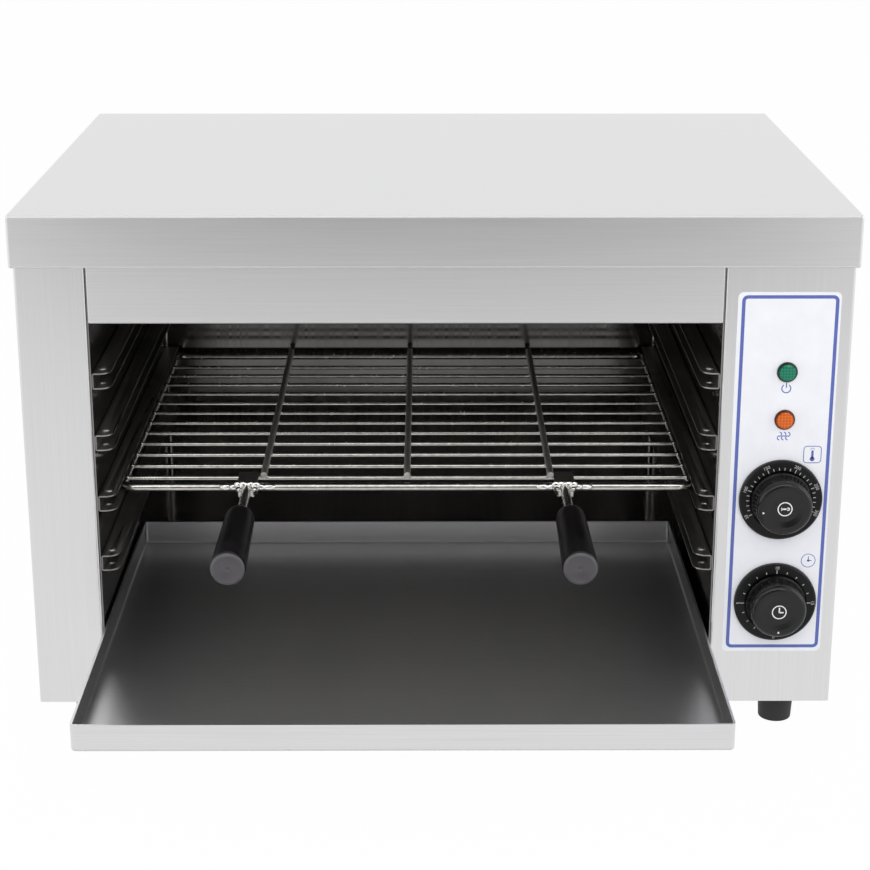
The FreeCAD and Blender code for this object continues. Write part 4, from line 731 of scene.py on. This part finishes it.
class MELTER_OT_lamps(bpy.types.Operator):
    """Green and orange lamp lenses and the lamp holders"""

    bl_idname = "melter.lamps"
    bl_label = "Lamps"

    def execute(self, context):
        for node, colour, low_tone, high_tone in (
                ("power_lamp_lens", "green", "#046A50", "#108F6E"),
                ("heat_lamp_lens", "orange", "#C8560C", "#E87A1E")):
            dress(ribbed_lens(f"{colour}_acrylic", shade(low_tone), shade(high_tone), 0.25,
                              centre(node), LAMP_FACE_RADIUS * MM), node)
        return {"FINISHED"}


class MELTER_OT_dials(bpy.types.Operator):
    """Scale rings with their ticks and numbers"""

    bl_idname = "melter.dials"
    bl_label = "Dial scales"

    def execute(self, context):
        settings = context.scene.melter_print
        plastic = moulded("satin_black_dial", shade("#0B0B0C"), shade("#131314"), 0.36,
                          0.0006, 0.00003, **{"Specular IOR Level": 0.2})
        ink = print_ink("white_dial_ink", shade("#B4B4B1"))
        dress(plastic, "thermostat_dial_ring", "timer_dial_ring")
        tick = settings.tick_length
        depth = settings.ink_depth

        marks = bmesh.new()
        middle = centre("thermostat_dial_ring")
        face = low("thermostat_dial_ring").y
        radius = SCALE_RADIUS["thermostat"]
        scale = [(50, -117.0), (100, -72.0), (150, -25.0), (200, 23.0), (250, 67.0), (300, 110.0)]
        for (_, start), (_, end) in zip(scale, scale[1:]):
            for step in range(5):
                angle = start + (end - start) * step / 5
                self.tick(marks, middle, face, angle, radius * MM,
                          tick * (1.0 if step else 1.35), 0.55 * MM, depth)
        self.tick(marks, middle, face, scale[-1][1], radius * MM, tick * 1.35, 0.55 * MM, depth)
        for value, angle in scale:
            at = facing_front(middle.x, face, middle.z, angle)
            merged(marks, lettering(str(value), settings.number_height, depth),
                   at @ Matrix.Translation((0, NUMBER_RADIUS["thermostat"] * MM, 0)))
        finish_piece(marks, "thermostat_scale", ink, "cabinet")

        marks = bmesh.new()
        middle = centre("timer_dial_ring")
        face = low("timer_dial_ring").y
        for minute in range(16):
            angle = 180.0 + minute * 18.0
            main = minute % 5 == 0
            self.tick(marks, middle, face, angle, SCALE_RADIUS["timer"] * MM,
                      tick * (1.4 if main else 0.8), 0.6 * MM, depth)
            if main:
                at = facing_front(middle.x, face, middle.z, angle)
                turn = 180.0 if minute == 0 else 0.0
                merged(marks, lettering(str(minute), settings.number_height, depth),
                       at @ Matrix.Translation((0, NUMBER_RADIUS["timer"] * MM, 0))
                       @ Matrix.Rotation(math.radians(turn), 4, "Z"))
        finish_piece(marks, "timer_scale", ink, "cabinet")
        return {"FINISHED"}

    @staticmethod
    def tick(marks, middle, face, angle, radius, length, width, depth):
        """One radial mark, its middle at a radius."""
        at = facing_front(middle.x, face, middle.z, angle)
        merged(marks, plate(width, length, depth), at @ Matrix.Translation((0, radius, 0)))


class MELTER_OT_knobs(bpy.types.Operator):
    """Turning knobs with pointer and cap sign"""

    bl_idname = "melter.knobs"
    bl_label = "Knobs"

    def execute(self, context):
        plastic = moulded("satin_black_knob", shade("#0C0C0D"), shade("#141415"), 0.27,
                          0.0007, 0.00002, **{"Specular IOR Level": 0.36})
        ink = print_ink("white_knob_ink", shade("#E4E4E2"))
        depth = context.scene.melter_print.ink_depth
        steel = plated_steel("zinc_plated_shaft", shade("#9A9C9E"), shade("#B4B6B8"), 0.3)
        for name, pointer in (("thermostat", -100.0), ("timer", 180.0)):
            node = f"{name}_knob"
            dress(plastic, node)
            dress(steel, f"{name}_shaft")
            middle = centre(node)
            face = low(node).y + 0.9 * MM
            crown = low(node).y
            marks = bmesh.new()
            at = facing_front(middle.x, face, middle.z)
            merged(marks, band(5.4 * MM, 0.75 * MM, depth), at)
            if name == "timer":
                merged(marks, plate(1.0 * MM, 4.0 * MM, depth),
                       at @ Matrix.Translation((0, 1.7 * MM, 0)))
                merged(marks, plate(3.4 * MM, 1.0 * MM, depth),
                       at @ Matrix.Translation((1.5 * MM, -0.2 * MM, 0)))
            else:
                merged(marks, plate(5.4 * MM, 1.1 * MM, depth, 0.5 * MM), at)
                merged(marks, disc(1.3 * MM, depth, 20), at @ Matrix.Translation((2.3 * MM, 0, 0)))
                merged(marks, plate(0.9 * MM, 2.2 * MM, depth, 0.3 * MM),
                       at @ Matrix.Translation((-2.4 * MM, 0, 0)))
            wedge = disc(1.05 * MM, depth, 3)
            merged(marks, wedge, facing_front(middle.x, crown, middle.z, pointer)
                   @ Matrix.Translation((0, 15.9 * MM, 0)) @ Matrix.Rotation(TURN / 2, 4, "Z"))
            finish_piece(marks, f"{name}_knob_marks", ink, f"{name}_dial")
        return {"FINISHED"}


class MELTER_OT_hardware(bpy.types.Operator):
    """Feet, screws, gland and the switchgear inside"""

    bl_idname = "melter.hardware"
    bl_label = "Feet and hardware"

    def execute(self, context):
        rubber = moulded("black_rubber", shade("#121212"), shade("#1E1D1D"), 0.62, 0.001, 0.00006)
        zinc = plated_steel("zinc_plated_hardware", shade("#9A9C9E"), shade("#B9BBBD"), 0.28)
        nylon = moulded("black_nylon", shade("#17181A"), shade("#232426"), 0.48)
        steatite = moulded("glazed_steatite", shade("#D9D3C4"), shade("#E6E1D4"), 0.28)
        brass = plated_steel("turned_brass", shade("#B08D4A"), shade("#CBA763"), 0.28)
        dress(rubber, "foot_front_left", "foot_front_right", "foot_rear_left", "foot_rear_right")
        dress(zinc, "foot_screws", "case_screws", "control_screws", "element_nuts")
        dress(nylon, "cord_gland", "gland_nut", "terminal_block", "timer_body", "lamp_bodies")
        dress(steatite, "thermostat_body", "element_terminals")
        dress(brass, "earth_stud")
        return {"FINISHED"}


class MELTER_OT_studio(bpy.types.Operator):
    """Pale floor, soft lights and the camera"""

    bl_idname = "melter.studio"
    bl_label = "Studio"

    def execute(self, context):
        settings = context.scene.melter_studio
        scene = context.scene
        scene.view_settings.view_transform = "Standard"

        world = bpy.data.worlds.new("studio_room")
        world.use_nodes = True
        scene.world = world
        tree = world.node_tree
        tree.nodes.clear()
        room = add_node(tree, "ShaderNodeBackground", {
            "Color": (1, 1, 1, 1), "Strength": settings.sky_level})
        backdrop = add_node(tree, "ShaderNodeBackground", {"Color": (1, 1, 1, 1), "Strength": 1.0})
        blend = add_node(tree, "ShaderNodeMixShader", {
            0: self.seen_directly(tree), 1: room.outputs[0], 2: backdrop.outputs[0]})
        add_node(tree, "ShaderNodeOutputWorld", {"Surface": blend.outputs[0]})

        paper, tree, shader, _ = new_surface("matt_white_paper", shade("#F4F4F4"), 0.0, 0.8)
        glow = add_node(tree, "ShaderNodeEmission", {"Color": (1, 1, 1, 1), "Strength": 1.0})
        fade = compute(tree, "MULTIPLY", self.seen_directly(tree), FLOOR_WHITENESS)
        mix = add_node(tree, "ShaderNodeMixShader", {
            0: fade, 1: shader.outputs[0], 2: glow.outputs[0]})
        output = next(n for n in tree.nodes if n.type == "OUTPUT_MATERIAL")
        tree.links.new(mix.outputs[0], output.inputs["Surface"])
        floor = plate(FLOOR_WIDTH, FLOOR_WIDTH, FLOOR_THICKNESS)
        floor.transform(Matrix.Translation((0, 0, -FLOOR_THICKNESS)))
        stand(floor, "floor", paper)

        for name, position, size, power in (
                ("key_light", (0.0, -2.1, 1.6), (2.2, 1.0), settings.key_power),
                ("left_light", (-1.9, -0.6, 0.9), (0.8, 1.4), settings.fill_power),
                ("right_light", (1.9, -0.6, 0.9), (0.8, 1.4), settings.fill_power)):
            self.lamp(name, position, size, power)

        # The dark card is seen only in reflections, where it darkens the middle of the front.
        card = plate(1.24, 1.30, 0.005)
        card.transform(facing_front(0.0, -1.80, 0.67))
        shield = stand(card, "dark_card", new_surface("black_card", shade("#1A1A1A"), 0.0, 0.9)[0])
        for ray in ("camera", "diffuse", "transmission", "volume_scatter", "shadow"):
            setattr(shield, f"visible_{ray}", False)

        data = bpy.data.cameras.new("camera")
        data.lens = settings.lens
        data.sensor_width = 36.0
        data.clip_start, data.clip_end = 0.05, 50.0
        camera = bpy.data.objects.new("camera", data)
        scene.collection.objects.link(camera)
        pitch, yaw, roll = (math.radians(angle) for angle in CAMERA_ANGLES)
        camera.matrix_world = (
            Matrix.Translation([length * MM for length in CAMERA_PLACE])
            @ Matrix.Rotation(-yaw, 4, "Z") @ Matrix.Rotation(math.radians(90) - pitch, 4, "X")
            @ Matrix.Rotation(roll, 4, "Z"))
        scene.camera = camera
        return {"FINISHED"}

    @staticmethod
    def seen_directly(tree):
        """One for rays from the camera and for what metal and glass show, else zero."""
        path = add_node(tree, "ShaderNodeLightPath")
        total = path.outputs["Is Camera Ray"]
        for kind in ("Is Glossy Ray", "Is Transmission Ray"):
            total = compute(tree, "MAXIMUM", total, path.outputs[kind])
        return total

    @staticmethod
    def lamp(name, position, size, power):
        """Rectangular soft light that looks at the middle of the cabinet."""
        data = bpy.data.lights.new(name, "AREA")
        data.shape = "RECTANGLE"
        data.size, data.size_y = size
        data.energy = power
        light = bpy.data.objects.new(name, data)
        light.location = position
        aim = Vector(LIGHT_TARGET) - Vector(position)
        light.rotation_mode = "QUATERNION"
        light.rotation_quaternion = aim.to_track_quat("-Z", "Y")
        bpy.context.scene.collection.objects.link(light)


OPERATORS = (
    MELTER_OT_casing, MELTER_OT_cavity, MELTER_OT_grid, MELTER_OT_handles, MELTER_OT_tray,
    MELTER_OT_label, MELTER_OT_lamps, MELTER_OT_dials, MELTER_OT_knobs, MELTER_OT_hardware,
    MELTER_OT_studio,
)


class MELTER_PT_panel(bpy.types.Panel):
    """Sidebar panel with every step"""

    bl_idname = "MELTER_PT_panel"
    bl_label = "Cheese Melter"
    bl_space_type = "VIEW_3D"
    bl_region_type = "UI"
    bl_category = "Cheese Melter"

    def draw(self, context):
        for group in ("melter_steel", "melter_print", "melter_studio"):
            settings = getattr(context.scene, group)
            for name in settings.__annotations__:
                self.layout.prop(settings, name)
        for operator in OPERATORS:
            self.layout.operator(operator.bl_idname)


GROUPS = {
    "melter_steel": SteelSettings, "melter_print": PrintSettings, "melter_studio": StudioSettings,
}
CLASSES = (*GROUPS.values(), *OPERATORS, MELTER_PT_panel)


def register():
    for item in CLASSES:
        bpy.utils.register_class(item)
    for name, group in GROUPS.items():
        setattr(bpy.types.Scene, name, PointerProperty(type=group))


def unregister():
    for name in GROUPS:
        delattr(bpy.types.Scene, name)
    for item in reversed(CLASSES):
        bpy.utils.unregister_class(item)


def main():
    register()
    for operator in OPERATORS:
        group, step = operator.bl_idname.split(".")
        getattr(getattr(bpy.ops, group), step)()
    bpy.context.view_layer.update()


if __name__ == "__main__":
    main()
